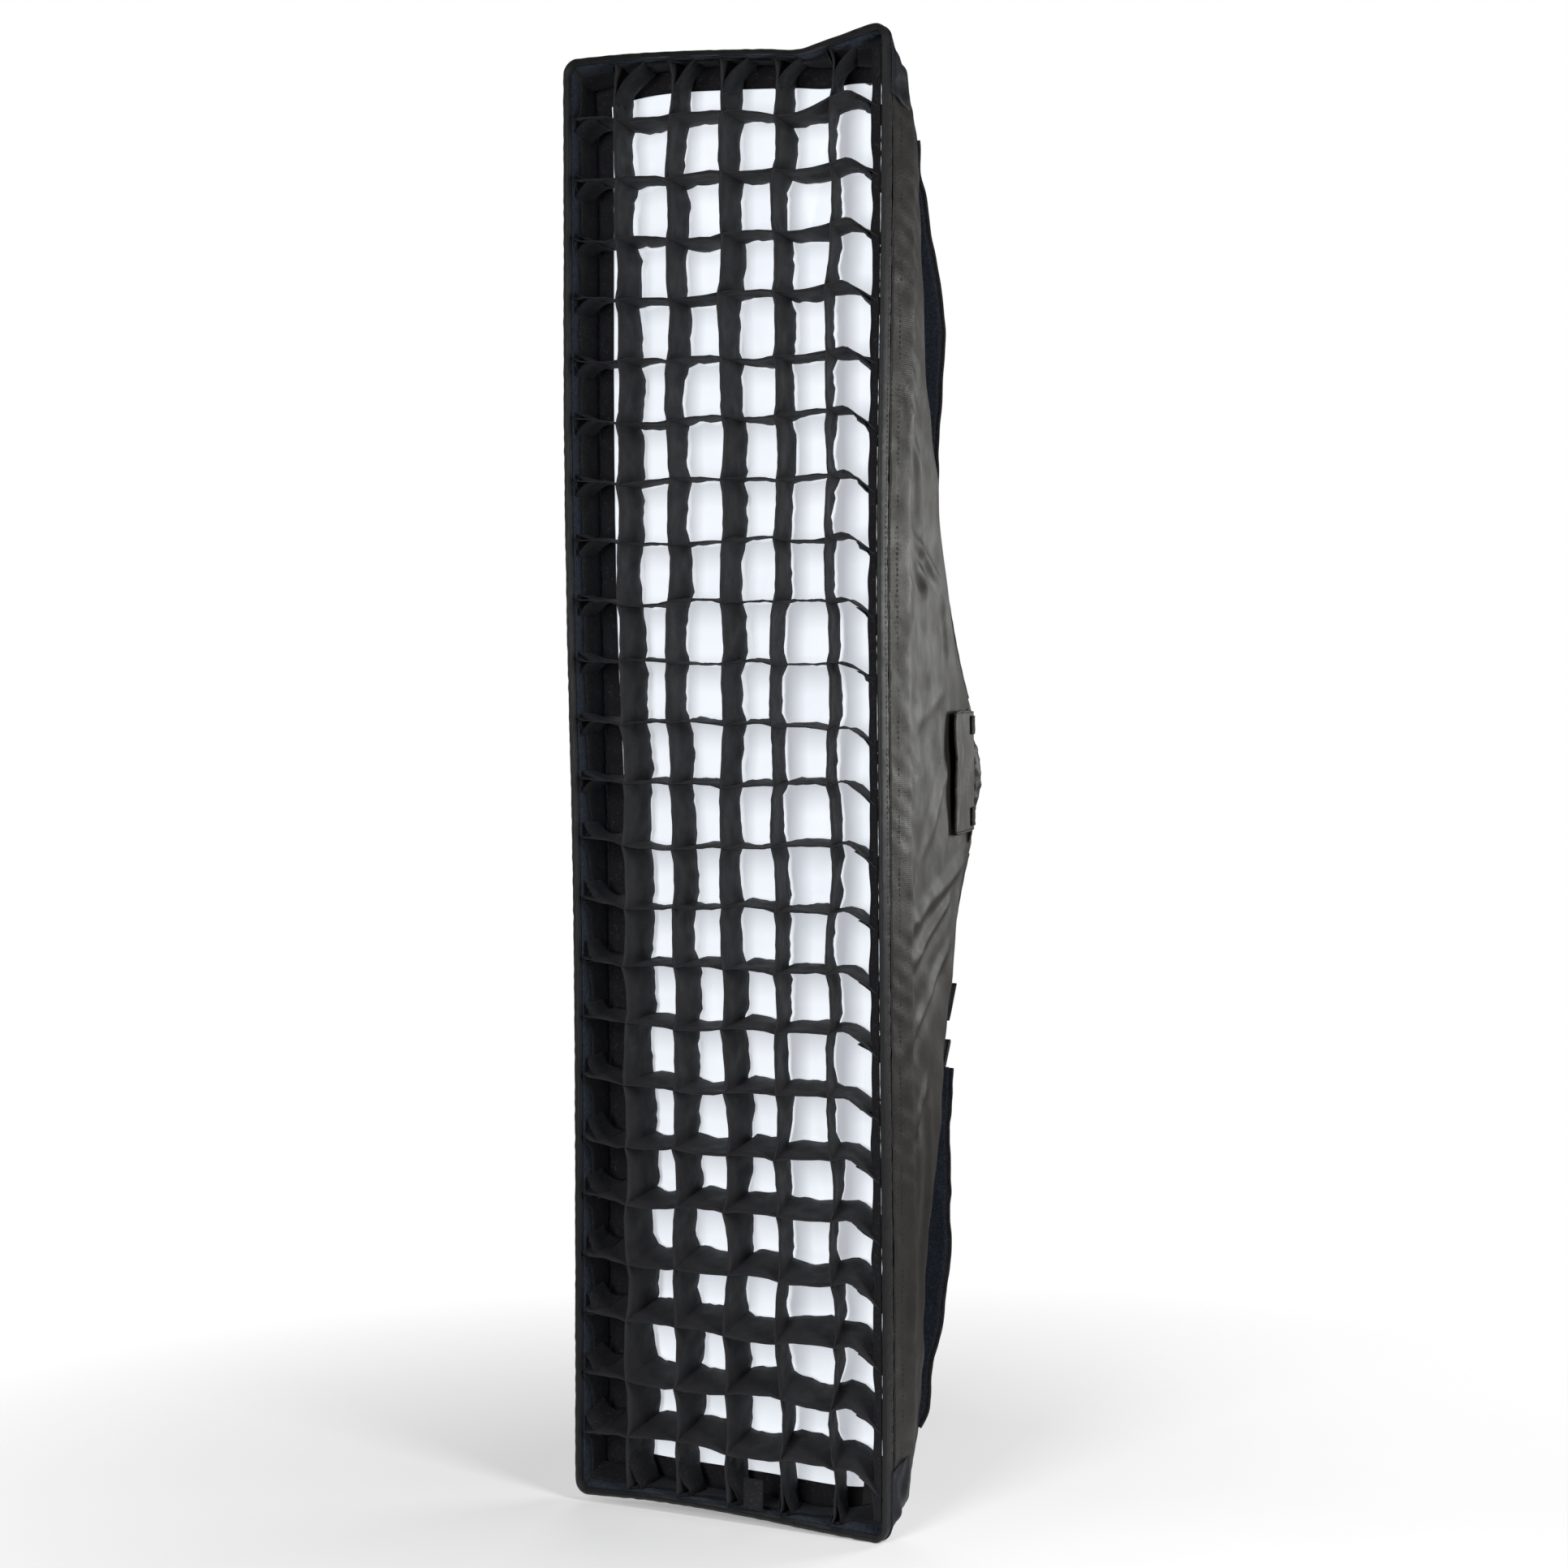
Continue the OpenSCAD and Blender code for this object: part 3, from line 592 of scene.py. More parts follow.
def folds(p, lines, axes):
    """Height of long soft folds. Each line is (a0, b0, a1, b1, height, width) on two axes."""
    a, b = p[..., axes[0]], p[..., axes[1]]
    total = 0 * a
    for a0, b0, a1, b1, height, width in lines:
        run = np.array([a1 - a0, b1 - b0], float)
        long = np.linalg.norm(run)
        run /= long
        t = ((a - a0) * run[0] + (b - b0) * run[1]) / long
        sway = 0.03 * long * np.sin(3.1 * t + a0)
        d = (a - a0) * run[1] - (b - b0) * run[0] + sway
        ends = smooth(-0.05, 0.25, t) * (1 - smooth(0.7, 1.08, t))
        total = total + height * ends * (np.exp(-(d / width) ** 2)
                                         - 0.6 * np.exp(-((d - 1.8 * width) / (1.3 * width)) ** 2))
    return total


def lines_at(*rows):
    """Fold lines given by depth behind the front edge, turned to places along Y."""
    return [(d0 + FRONT_Y, z0, d1 + FRONT_Y, z1, h, w) for d0, z0, d1, z1, h, w in rows]


RIGHT_FOLDS = lines_at(
    (10, 466, 60, 366, 1.6, 6), (10, 350, 95, 240, 2.2, 6), (15, 215, 125, 150, 2.0, 6),
    (25, 222, 175, 157, 1.6, 5), (175, 157, 190, 95, 1.6, 5), (15, -135, 280, -62, 2.4, 8),
    (25, -145, 230, -100, 1.6, 5), (15, -232, 200, -132, 2.6, 7), (25, -290, 115, -245, 2.2, 7),
    (65, -250, 40, -480, 2.0, 8), (115, -245, 80, -455, 1.8, 7), (60, 300, 140, 60, 1.4, 9),
    (205, 20, 90, -70, 1.3, 8), (60, 40, 200, 90, 1.2, 9))
LEFT_FOLDS = lines_at(
    (12, 410, 80, 300, 1.8, 6), (14, 250, 130, 190, 2.2, 7), (60, 470, 45, 330, 1.6, 7),
    (30, 120, 210, 70, 1.8, 7), (15, -60, 240, -30, 1.6, 7), (18, -180, 190, -110, 2.4, 7),
    (22, -330, 100, -260, 2.0, 6), (70, -280, 45, -500, 1.8, 8), (150, 60, 60, -60, 1.3, 8))
END_FOLDS = {
    1: [(-120, 520, 60, 330, 3.0, 10), (110, 560, -20, 420, 2.6, 9), (70, 480, 95, 240, 2.4, 9),
        (-60, 400, -90, 180, 2.4, 9), (20, 300, 60, 120, 2.0, 8), (-100, 585, 0, 540, 2.4, 8)],
    -1: [(120, -530, -50, -360, 3.0, 10), (-110, -540, 10, -430, 2.4, 9),
         (-60, -470, -100, -230, 2.4, 9), (60, -380, 85, -170, 2.4, 9), (0, -300, -50, -120, 2, 8)]}


def dress(p, side):
    """Gives a clean panel its hollows, folds and small waves."""
    q = pull_seams(p)
    t = slope_share(p[..., 1])
    loose = smooth(0, 0.12, t) * (1 - smooth(0.9, 1, t))
    if side in UPRIGHT:
        sign = 1 if side == "right" else -1
        normal = np.array([sign * math.cos(SIDE_ANGLE), math.sin(SIDE_ANGLE), 0])
        lift = folds(p, RIGHT_FOLDS if sign > 0 else LEFT_FOLDS, (1, 2))
        lift *= 1.5 * (0.35 + 0.65 * smooth(0, 0.1, t))
        lift = lift + loose * (1.1 * ripple(p, 60, 11 + sign) + 0.45 * ripple(p, 22, 21 + sign))
        lift = lift + (1 - smooth(0.0, 0.2, t)) * 0.5 * ripple(p, 16, 31 + sign, (1, 1, 0.6))
    else:
        sign = 1 if side == "top" else -1
        normal = END_NORMAL * [1, 1, sign]
        lift = folds(p, END_FOLDS[sign], (0, 2))
        lift = loose * (lift + 1.5 * ripple(p, 75, 13 + sign) + 0.5 * ripple(p, 24, 23 + sign))
    lift = lift * (1 - smooth(0.97, 1.0, t)) * smooth(3, 24, seam_gap(p))
    return warp(q + normal * lift[..., None])


def depths(side, start, end):
    """Rows of a panel: twelve over the lip, and the rest down its slope."""
    rows = 84 if side in UPRIGHT else 150
    lip = np.linspace(start, LIP_DEPTH, 12)[:-1] if start < LIP_DEPTH else []
    return np.concatenate([lip, np.linspace(max(start, LIP_DEPTH), end, rows)])


def panel(side):
    depth = depths(side, 13.5, NECK_DEPTH)
    out = 1.4 - 1.4 * smooth(44, 62, depth)
    return dress(ring(side, depth, out, (340, 84)), side)


def make_skin():
    for side in ("right", "left", "top", "bottom"):
        node = ("side_panel_" if side in UPRIGHT else "end_panel_") + side
        b = Build()
        b.shell(panel(side), SKIN)
        ob = place(node, b, "skin", "box")


def make_linings():
    for side in SIDES:
        node = "lining_" + side
        depth = depths(side, 53.5, NECK_DEPTH - 2)
        clean = ring(side, depth, 0, (300, 76), 9.0)[:, ARC:-ARC]
        p = dress(clean, side)
        p = p - grid_normals(p) * (2.7 + 0.5 * ripple(p, 9, 41)[..., None])
        b = Build()
        b.shell(p, 0.6)
        ob = place(node, b, "silver", "box")


def band(rows, side="all", n=(300, 70), rounding=None):
    """Points of a strip swept round the frame. rows are (distance outside the outline, depth)."""
    out, depth = np.array(rows, float).T
    return ring(side, depth, out, n, rounding)


BINDING = [(-2.9, 6.6), (-3.05, 2.2), (-2.4, 0.3), (-1.0, -0.5), (0.4, -0.1), (1.45, 1.2),
           (1.75, 5.0), (1.6, 11.0), (0.45, 11.4), (0.25, 2.6), (-2.15, 2.4), (-2.2, 6.8)]


def make_lip():
    for side in SIDES:
        b = Build()
        p = band([(0, d) for d in np.linspace(2, 49.5, 12)], side)
        b.shell(warp(p), 2.0)
        place("lip_wall_" + side, b, "lip", "box")
    b = Build()
    p = band(BINDING, n=(560, 130))
    p = p + 0.12 * ripple(p, 5, 51)[..., None]
    b.sheet(warp(p), True, True)
    place("front_binding", b, "binding", "box")
    for name, front, rear, seed in (("lip_tape_front", 7.6, 30, 52), ("lip_tape_rear", 34, 49, 53)):
        b = Build()
        rows = [(-3.5, d) for d in np.linspace(rear, front + 0.8, 9)]
        rows += [(-3.2, front), (-2.3, front), (-2.3, rear)]
        p = band(rows, n=(560, 130), rounding=8.0)
        p[:9] += 0.28 * ripple(p, 2.5, seed)[:9, :, None]
        b.sheet(warp(p), True, True)
        place(name, b, "loop", "box")


def make_patches():
    b = Build()
    for k, (sx, sz) in enumerate(CORNERS):
        side, end = ("right" if sx > 0 else "left"), ("top" if sz > 0 else "bottom")
        depth = np.linspace(9, 44, 16)
        first, second = (side, end) if sx * sz > 0 else (end, side)
        cols = {side: 13, end: 11}
        a = ring(first, depth, 2.9, (340, 84))[:, -(ARC + cols[first]):]
        c = ring(second, depth, 2.9, (340, 84))[:, :ARC + cols[second]]
        p = warp(np.concatenate([a[:, :-1], c], 1))
        lift = 0.9 * ripple(p, 8, 61 + k) + 0.9 * ripple(p, 15, 71 + k, (1, 1, 0.5))
        edge = np.minimum(smooth(8.9, 15, depth), 1 - smooth(38, 44.1, depth) * 0.8)[:, None]
        p = p + grid_normals(p) * (np.maximum(lift, -0.9) * (0.3 + 0.7 * edge) + 0.5 * edge)[..., None]
        b.shell(p, 1.1)
    place("corner_patches", b, "patch", "box")


def seam_at(y, sx, sz):
    """The dressed seam at stations along Y."""
    half = half_at(y - FRONT_Y)
    inset = (1 - math.sqrt(0.5)) * seam_round(y - FRONT_Y)
    p = np.stack([sx * (half[..., 0] - inset), y, sz * (half[..., 1] - inset)], -1)
    return warp(pull_seams(p))


def make_welts():
    b = Build()
    for sx, sz in CORNERS:
        y = np.linspace(LIP_Y + 3, NECK_Y - 2, 130)
        path = seam_at(y, sx, sz) + np.array([sx * 0.3, 0.5, sz * 0.5])
        b.tube(path, 1.3 + 0.12 * np.sin(np.arange(130) * 1.9), 8, up=(1, 0, 0))
    place("seam_welts", b, "binding", "box")


# Closure flaps: heights below the lip where they start and end, and their reach at shares of that
FLAP_NEAR, FLAP_FAR, LOWER_FLAP_FAR = 56.0, 385.0, 352.0
UPPER_REACH = [(0, 1.6), (0.07, 2.4), (0.134, 8), (0.225, 15), (0.316, 21), (0.407, 24),
               (0.468, 24.5), (0.59, 20), (0.68, 14), (0.77, 9), (0.86, 5), (1, 2.5)]
LOWER_REACH = [(0, 2), (0.04, 7), (0.085, 8.5), (0.13, 9.5), (0.17, 12.5), (0.22, 16.5), (0.264, 20.5),
               (0.31, 24.5), (0.4, 26.5), (0.49, 27), (0.62, 24), (0.71, 20), (0.84, 16.5), (1, 14)]


def flap_points(k, sx, sz, lift, trim):
    """Surface of one closure flap: columns go from its seam to its free edge."""
    s = np.linspace(0, 1, 90)
    far = FLAP_FAR if sz > 0 else LOWER_FLAP_FAR
    y = LIP_Y + (FLAP_NEAR + (far - FLAP_NEAR) * s) / SLOPE[1]
    reach = np.maximum(curve(UPPER_REACH if sz > 0 else LOWER_REACH, s) - trim, 1.6)
    q = np.linspace(0, 1, 9)
    base = seam_at(y, sx, sz)
    p = base[:, None] + np.stack([sx * (1.2 + np.outer(reach - 1.2, q)), 0 * np.outer(s, q),
                                  0 * np.outer(s, q)], -1)
    pucker = 1.0 + (sz < 0) * 0.8 * smooth(0.45, 0.9, s)[:, None]
    wave = (0.7 * ripple(p, 11, 81 + k) + 0.9 * ripple(p, 26, 91 + k)) * pucker
    out = lift + wave * (0.25 + 0.75 * q[None]) * 0.8
    sway = 0.8 * ripple(p, 30, 95 + k) * q[None]
    normal = END_NORMAL * [1, 1, sz]
    return p + normal * out[..., None] + np.array([1.0, 0, 0]) * (sx * sway)[..., None]


def make_flaps():
    cloth, tape = Build(), Build()
    for k, (sx, sz) in enumerate(CORNERS):
        p = flap_points(k, sx, sz, 1.9, 0)
        flip = sx * sz > 0
        cloth.shell(p[:, ::-1] if flip else p, 1.4)
        cloth.tube(p[:, -1] + np.array([sx * 0.5, -0.7, 0]), 1.35, 7, up=(1, 0, 0))
        p = flap_points(k, sx, sz, -0.2, 2.2)
        tape.shell(p[:, ::-1] if flip else p, 1.2)
    place("closure_flaps", cloth, "flap", "box")
    place("closure_tapes", tape, "loop", "box")


def oriented(centre, along, across, face, size, wave, seed):
    """Front face of a small flat cloth: size is (along, across), face its outward normal."""
    a = np.linspace(-0.5, 0.5, 14) * size[0]
    c = np.linspace(-0.5, 0.5, 10) * size[1]
    along, across, face = [np.array(v, float) for v in (along, across, face)]
    if np.dot(np.cross(along, across), face) < 0:
        a = a[::-1]
    p = (np.array(centre, float) + a[:, None, None] * along + c[None, :, None] * across)
    return p + face * (wave * ripple(p, 14, seed))[..., None]


def seam_frame(below, sx):
    """Place on a lower seam, a distance below the top of its run, and its normal and run."""
    at = seam_at(np.array([LIP_Y + below / SLOPE[1]]), sx, -1)[0]
    run = np.array([0, math.sin(END_ANGLE), math.cos(END_ANGLE)])
    return at, END_NORMAL * [1, 1, -1], run


STRAP_AT, BUCKLE_AT = 406, 358  # distances below the top of the lower seams


def make_straps():
    """Webbing tabs on the lower seams, each with a strip that runs on through its buckle."""
    b = Build()
    for sx in (1, -1):
        for where, aside, off, size, wave, seed, thick in (
                (STRAP_AT, 0.5, 1.6, (34, 17), 0.25, 101, 1.6),
                (BUCKLE_AT, -1.0, 1.9, (38, 13), 0.2, 105, 1.4)):
            at, normal, run = seam_frame(where, sx)
            centre = at + np.array([sx * aside, 0, 0]) + normal * off
            b.shell(oriented(centre, run, (1, 0, 0), normal, size, wave, seed + sx), thick)
    place("closure_straps", b, "webbing", "box")
    make_buckles()


def make_buckles():
    """Slotted buckle: two side rails and three bars, each a rounded bar of moulded plastic."""
    b = Build()
    for sx in (1, -1):
        at, normal, run = seam_frame(BUCKLE_AT, sx)
        centre = at - np.array([sx * 1.0, 0, 0]) + normal * 2.6
        side = np.array([sx, 0, 0])
        for x in (-7.5, 7.5):
            ends = np.linspace(-17.5, 17.5, 9)
            b.tube(centre + side * x + run * ends[:, None], 1.9, 10, up=normal, flat=0.8)
        for z in (-17.5, -6.0, 6.0, 17.5):
            ends = np.linspace(-8.5, 8.5, 7)
            b.tube(centre + run * z + side * ends[:, None], 2.1, 10, up=normal, flat=0.75)
    place("strap_buckles", b, "plastic", "box", sharp=50)


# ---- Neck ----

def make_collar():
    """The elastic neck: the box's square end gathered on to the round ring."""
    turn = np.arange(240) * TAU / 240
    c, s = np.cos(turn), np.sin(turn)
    power = 7.0  # of the rounded square's outline
    size = (np.abs(c / 75.4) ** power + np.abs(s / 67.4) ** power) ** (-1 / power)
    square = np.stack([size * c, 0 * c, size * s], 1)
    circle = np.stack([76.6 * c, 0 * c, 76.6 * s], 1)
    rows = []
    stations = [(0, -31), (0, -27), (0.1, -24.6), (0.35, -23.6), (0.7, -22.6), (0.95, -21.4),
                (1, -19.5), (1, -17.5), (1, -15.5), (1.0, -13.6), (0.99, -12.8)]
    for k, (t, y) in enumerate(stations):
        base = square * (1 - t) + circle * t
        pleat = 0.7 * np.sin(turn * 44) * (0.3 + 0.7 * (k > 3)) + 0.5 * np.sin(turn * 17 + k)
        pleat *= 0 if k < 2 else 1
        grown = base * (1 + np.maximum(pleat, -0.2)[:, None] / 78)
        if y < NECK_Y:
            grown[:, 0] += np.sign(base[:, 0]) * (NECK_Y - y) * SLOPE[0] * (np.abs(c) > 0.6)
            grown[:, 2] += np.sign(base[:, 2]) * 0.4
        rows.append(grown + np.array([0, y, 0]))
    p = np.array(rows)[:, ::-1]
    b = Build()
    b.shell(p, 1.3, wrap_v=True)
    b.tube(np.array([[77.0 * math.cos(a), -13.6, 77.0 * math.sin(a)] for a in turn]), 1.1, 8,
           closed=True, up=(0, 1, 0))
    place("neck_collar", b, "skin", "box")


FLAP_Z = 5.0  # height of the access flaps' middle


def side_frame(sx):
    """Origin and axes of the access flap: forward along the panel, outwards, up."""
    c, s = math.cos(SIDE_ANGLE), math.sin(SIDE_ANGLE)
    return (np.array([sx * NECK_HALF[0], NECK_Y, FLAP_Z]), np.array([sx * s, -c, 0]),
            np.array([sx * c, s, 0]), np.array([0, 0, 1.0]))


def local(sx, forward, out, up):
    o, f, n, u = side_frame(sx)
    parts = np.broadcast_arrays(forward, out, up)
    return o + parts[0][..., None] * f + parts[1][..., None] * n + parts[2][..., None] * u


def ordered(p, sx):
    return p if sx < 0 else p[:, ::-1]


def make_access():
    mesh = Build()
    for sx, side in ((1, "right"), (-1, "left")):
        f, z = np.meshgrid(np.linspace(3, 104, 50), np.linspace(-52, 52, 56), indexing="ij")
        free = smooth(15, 104, f)
        out = 3.0 + 2.9 * free ** 1.6 + 0.5 * np.cos(z / 18) * free
        p = local(sx, f, out, z + 0 * f)
        p = p + 0.35 * ripple(p, 12, 111 + sx)[..., None] * free[..., None]
        b = Build()
        b.shell(ordered(p, sx), 1.5)
        edge = [p[-1, ::2], p[8:, 0][::2], p[8:, -1][::2]]
        for line in edge:
            b.tube(line, 1.25, 7, up=(0, 0, 1) if len(line) == 28 else (1, 0, 0))
        node = "access_flap_" + side
        place(node, b, "skin", "flap_" + side)
        tape = Build()
        for z0 in (40.0, -40.0):
            f2, z2 = np.meshgrid(np.linspace(7, 21, 12), np.linspace(-8, 8, 12), indexing="ij")
            q = local(sx, f2, 4.9, z2 + z0)
            q = q + 0.15 * ripple(q, 2.2, 121)[..., None]
            tape.shell(ordered(q, sx), 1.3)
        node = "flap_hook_tapes_" + side
        place(node, tape, "hook", "flap_" + side)
        f3, z3 = np.meshgrid(np.linspace(16, 64, 24), np.linspace(-35, 35, 34), indexing="ij")
        q = dress(local(sx, f3, 1.25 + 0 * f3, z3), side)
        mesh.shell(ordered(q + 0.12 * ripple(q, 9, 131)[..., None], sx), 0.6)
    place("access_meshes", mesh, "mesh", "box")


# ---- Rod ends ----

ROD_ROOT = np.array([50, -31, 34.0])
ROD_TIP = np.array([134, LIP_Y + 15, 522.0])
ROD_DIR = (ROD_TIP - ROD_ROOT) / np.linalg.norm(ROD_TIP - ROD_ROOT)


def make_pockets():
    """Sewn sleeves that hold the rods' tips: round on the rod, pressed flat past it."""
    for (sx, sz), name in zip(CORNERS, CORNER_NAMES):
        flip = np.array([sx, 1, sz])
        s = np.concatenate([np.linspace(-28.6, 3.2, 26), np.linspace(4.2, 7.2, 5)])
        radius = 5.0 + 0.2 * np.sin(s * 0.9)
        radius[0] = 5.5
        path = ROD_TIP + ROD_DIR * s[:, None]
        b = Build()
        tail = np.array([1 - 0.55 * smooth(2, 7.4, v) for v in s])
        b.tube((path * flip), radius * tail, 18, up=(1, 0, 0))
        lip = ROD_TIP + ROD_DIR * -28.4
        side = np.cross(ROD_DIR, [1, 0, 0])
        side /= np.linalg.norm(side)
        top = np.cross(side, ROD_DIR)
        turn = np.arange(20) * TAU / 20
        hem = lip + 5.3 * (np.cos(turn)[:, None] * side + np.sin(turn)[:, None] * top)
        b.tube(hem * flip, 0.7, 6, closed=True, up=ROD_DIR * flip)
        node = "corner_pocket_" + name
        place(node, b, "webbing", "box")


# ---- Diffuser and baffle ----

def flat_cloth(hx, hz, y, nx, nz):
    """Front face of an upright cloth, looking to -Y."""
    x, z = np.meshgrid(np.linspace(-hx, hx, nx), np.linspace(-hz, hz, nz), indexing="ij")
    return np.stack([x, 0 * x + y, z], -1)


def frame_cloth(hx, hz, width, y, thick, wave, seed, n=(240, 60)):
    """A hem: a flat band round a rectangle in the XZ plane, as a closed profile swept round it."""
    b = Build()
    blocks = []
    for inset in np.linspace(0, width, 6):
        ax, az = hx - inset, hz - inset
        right = np.stack([np.full(n[0], ax), np.linspace(-az, az, n[0])], 1)[:-1]
        top = np.stack([np.linspace(ax, -ax, n[1]), np.full(n[1], az)], 1)[:-1]
        xz = np.concatenate([right, top, -right, -top])
        blocks.append(np.stack([xz[:, 0], np.full(len(xz), y), xz[:, 1]], 1))
    p = np.array(blocks)
    p[..., 1] += wave * ripple(p, 20, seed)
    b.shell(p[::-1], thick, wrap_v=True)
    return b


def make_diffuser():
    hx, hz = GRID_HALF - 0.5
    p = flat_cloth(hx, hz, LIP_Y - 1.5, 110, 330)
    x, z = p[..., 0], p[..., 2]
    inner = np.minimum(smooth(0, 30, hx - np.abs(x)), smooth(0, 40, hz - np.abs(z)))
    lift = 1.7 * ripple(p, 26, 141, (1, 1, 7)) + 1.0 * ripple(p, 60, 142, (1, 1, 2.5))
    lift += folds(p, [(-60, 560, 20, 330, 2.4, 6), (70, 590, 40, 380, 2.6, 5),
                      (110, 470, 60, 260, 2.2, 6), (20, 240, -40, 40, 1.8, 6),
                      (90, 120, 60, -120, 2.0, 6), (-70, -60, -30, -260, 1.8, 6),
                      (60, -260, 100, -500, 2.4, 6), (-40, -380, -80, -580, 2.2, 6)], (0, 2))
    p[..., 1] += np.maximum(1.6 + lift, -0.9) * inner
    b = Build()
    b.shell(warp(p), 0.7)
    cloth = place("diffuser", b, "white", "front_diffuser")
    b = frame_cloth(hx, hz, 20, LIP_Y - 2.6, 0.9, 0.15, 143)
    # On the left the hem is drawn wider towards the bottom, from about 13 mm at the top to about 24 mm, so
    # that more of the left column is dark there.
    for block in range(len(b.verts)):
        v = np.array(b.verts[block], float)
        inset = np.maximum(v[..., 0] + hx, 0)
        grown = inset * (0.66 + 0.55 * smooth(-200, 300, -v[..., 2]))
        v[..., 0] = np.where(inset < 20.5, grown - hx, v[..., 0])
        b.verts[block] = warp(v)
    hem = place("diffuser_hem", b, "band", "front_diffuser")
    b = Build()
    q = oriented((115, LIP_Y - 4.0, -580.6), (0, 0, 1), (1, 0, 0), (0, -1, 0), (30, 18), 0.3, 144)
    b.shell(warp(q), 1.0)
    tab = place("diffuser_tab", b, "webbing", "front_diffuser")


BAFFLE_DEPTH, BAFFLE_HALF = 130.0, (100, 300)
BAFFLE_Y = FRONT_Y + BAFFLE_DEPTH
TAB_X, TAB_Z, TAB_WIDTH = 60.0, 228.0, 25  # the tabs' places along the baffle's ends and sides


def make_baffle():
    (hx, hz), y = BAFFLE_HALF, BAFFLE_Y
    p = flat_cloth(hx, hz, y - 0.9, 60, 150)
    x, z = p[..., 0], p[..., 2]
    inner = np.minimum(smooth(0, 20, hx - np.abs(x)), smooth(0, 30, hz - np.abs(z)))
    p[..., 1] += (2.2 * ripple(p, 34, 151, (1, 1, 3)) + 1.5 * ripple(p, 80, 152)) * inner
    b = Build()
    b.shell(p, 0.7)
    cloth = place("baffle", b, "white_inner", "inner_baffle")
    b = frame_cloth(hx, hz, 12, y - 1.9, 0.9, 0.12, 153, (150, 60))
    hem = place("baffle_hem", b, "band", "inner_baffle")
    b, pads = Build(), Build()
    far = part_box("baffle_tabs")[1]
    reach_x, reach_z = far.x / MM, far.z / MM
    for sx, sz in CORNERS:
        for centre, along, across, length, seed in (
                ((sx * (hx + reach_x) / 2, y - 0.6, sz * TAB_Z), (1, 0, 0), (0, 0, 1), reach_x - hx, 154),
                ((sx * TAB_X, y - 0.6, sz * (hz + reach_z) / 2), (0, 0, 1), (1, 0, 0), reach_z - hz, 155)):
            b.shell(oriented(centre, along, across, (0, -1, 0), (length, TAB_WIDTH), 0.2, seed), 1.0)
    tabs = place("baffle_tabs", b, "webbing", "inner_baffle")
    for sx, sz in CORNERS:
        for side_pad in (True, False):
            pads.shell(pad_face(sx, sz, side_pad), 1.1)
    place("lining_pads", pads, "loop", "box")


def pad_face(sx, sz, side_pad):
    """A square of loop tape sewn to the lining where a baffle tab is held."""
    half = half_at(BAFFLE_DEPTH)
    inset = 2.0 + 0.6 + 0.3 + 1.6  # gap, lining, gap and pad
    if side_pad:
        side = "right" if sx > 0 else "left"
        normal = -np.array([sx * math.cos(SIDE_ANGLE), math.sin(SIDE_ANGLE), 0])
        along = np.array([-sx * math.sin(SIDE_ANGLE), math.cos(SIDE_ANGLE), 0])
        centre = np.array([sx * half[0], BAFFLE_Y, sz * TAB_Z]) + normal * inset
        across = (0, 0, 1)
    else:
        side = "top" if sz > 0 else "bottom"
        normal = -END_NORMAL * [1, 1, sz]
        along = np.array([0, math.sin(END_ANGLE), -sz * math.cos(END_ANGLE)])
        centre = np.array([sx * TAB_X, BAFFLE_Y, sz * half[1]]) + normal * inset
        across = (1, 0, 0)
    p = oriented(centre, along, across, normal, (30, TAB_WIDTH), 0.0, 156)
    return dress(p, side) + normal * (0.8 + 0.2 * ripple(p, 2.5, 157))[..., None]


# ---- Grid ----

COLS, ROWS = 7, 25  # node lines, walls counted
GRID_FRONT, GRID_DEPTH = 3.0, 42.0
draw = np.random.default_rng(7)
JITTER = draw.normal(0, 1.6, (COLS, ROWS, 2))
JITTER[[0, -1]] *= 0.7
JITTER[:, [0, -1]] *= 0.4
JITTER[0, 1:-1, 1] += 4.0
JITTER[-1, 1:-1, 1] -= 17.0
JITTER[:, [1, -2], 1] += draw.normal(0, 2.6, (COLS, 2))
BULGE_LONG = draw.choice([-1, 1], (COLS, ROWS)) * draw.uniform(1.5, 4.2, (COLS, ROWS))
BULGE_CROSS = draw.choice([-1, 1, 1], (COLS, ROWS)) * draw.uniform(1.0, 3.6, (COLS, ROWS))
# How far the cross strips' rear edges sink at the right wall: (height, offset)
WALL_SINK = [(-620, 4), (-350, 1), (-200, -9), (-50, -15), (300, -15), (620, -8)]
# Drift of each long strip's rear edge across, at the bottom, the middle and the top
REAR_X = {1: (4.6, -1.5, -7), 2: (-1, -5.6, -8), 3: (-2, -5.8, -4), 4: (-13, -13, -7),
          5: (-16, -15, -15), 0: (0, 0, 0), 6: (0, 0, 0)}


def grid_nodes(k, r, q):
    """X and Z of the crossing of long strip k and cross strip r, at a share q of the depth."""
    x0, z0 = CELL * (k - 3), CELL * (r - 12)
    x0 = min(max(x0, -144.6), 144.6)
    z0 = min(max(z0, -594.6), 594.6)
    low, mid, high = REAR_X[k]
    t = z0 / 550
    drift = mid + (high - mid) * max(t, 0) + (low - mid) * max(-t, 0)
    sink = -6 * max(t, 0) + 11 * smooth(0.15, 0.9, -t)
    if k == 0:
        sink *= 0.6
    if k == 6:
        sink = curve(WALL_SINK, z0)
    if r in (0, 24):
        sink, drift = 0, drift * 0.5
    jx, jz = JITTER[k, r]
    jx = 0 if k in (0, 6) else jx
    jz = 0 if r in (0, 24) else jz
    return np.stack([x0 + jx + q * drift, z0 + jz + q * sink], -1)


def front_at(x, z):
    """Depth of a strip's front edge: the strips stand forward of the frame away from its walls."""
    near = np.maximum(np.abs(x) / 146, 0) ** 4
    ends = np.maximum(np.abs(z) / 596, 0) ** 14
    return GRID_FRONT - 6.0 * (1 - near) * (1 - ends)


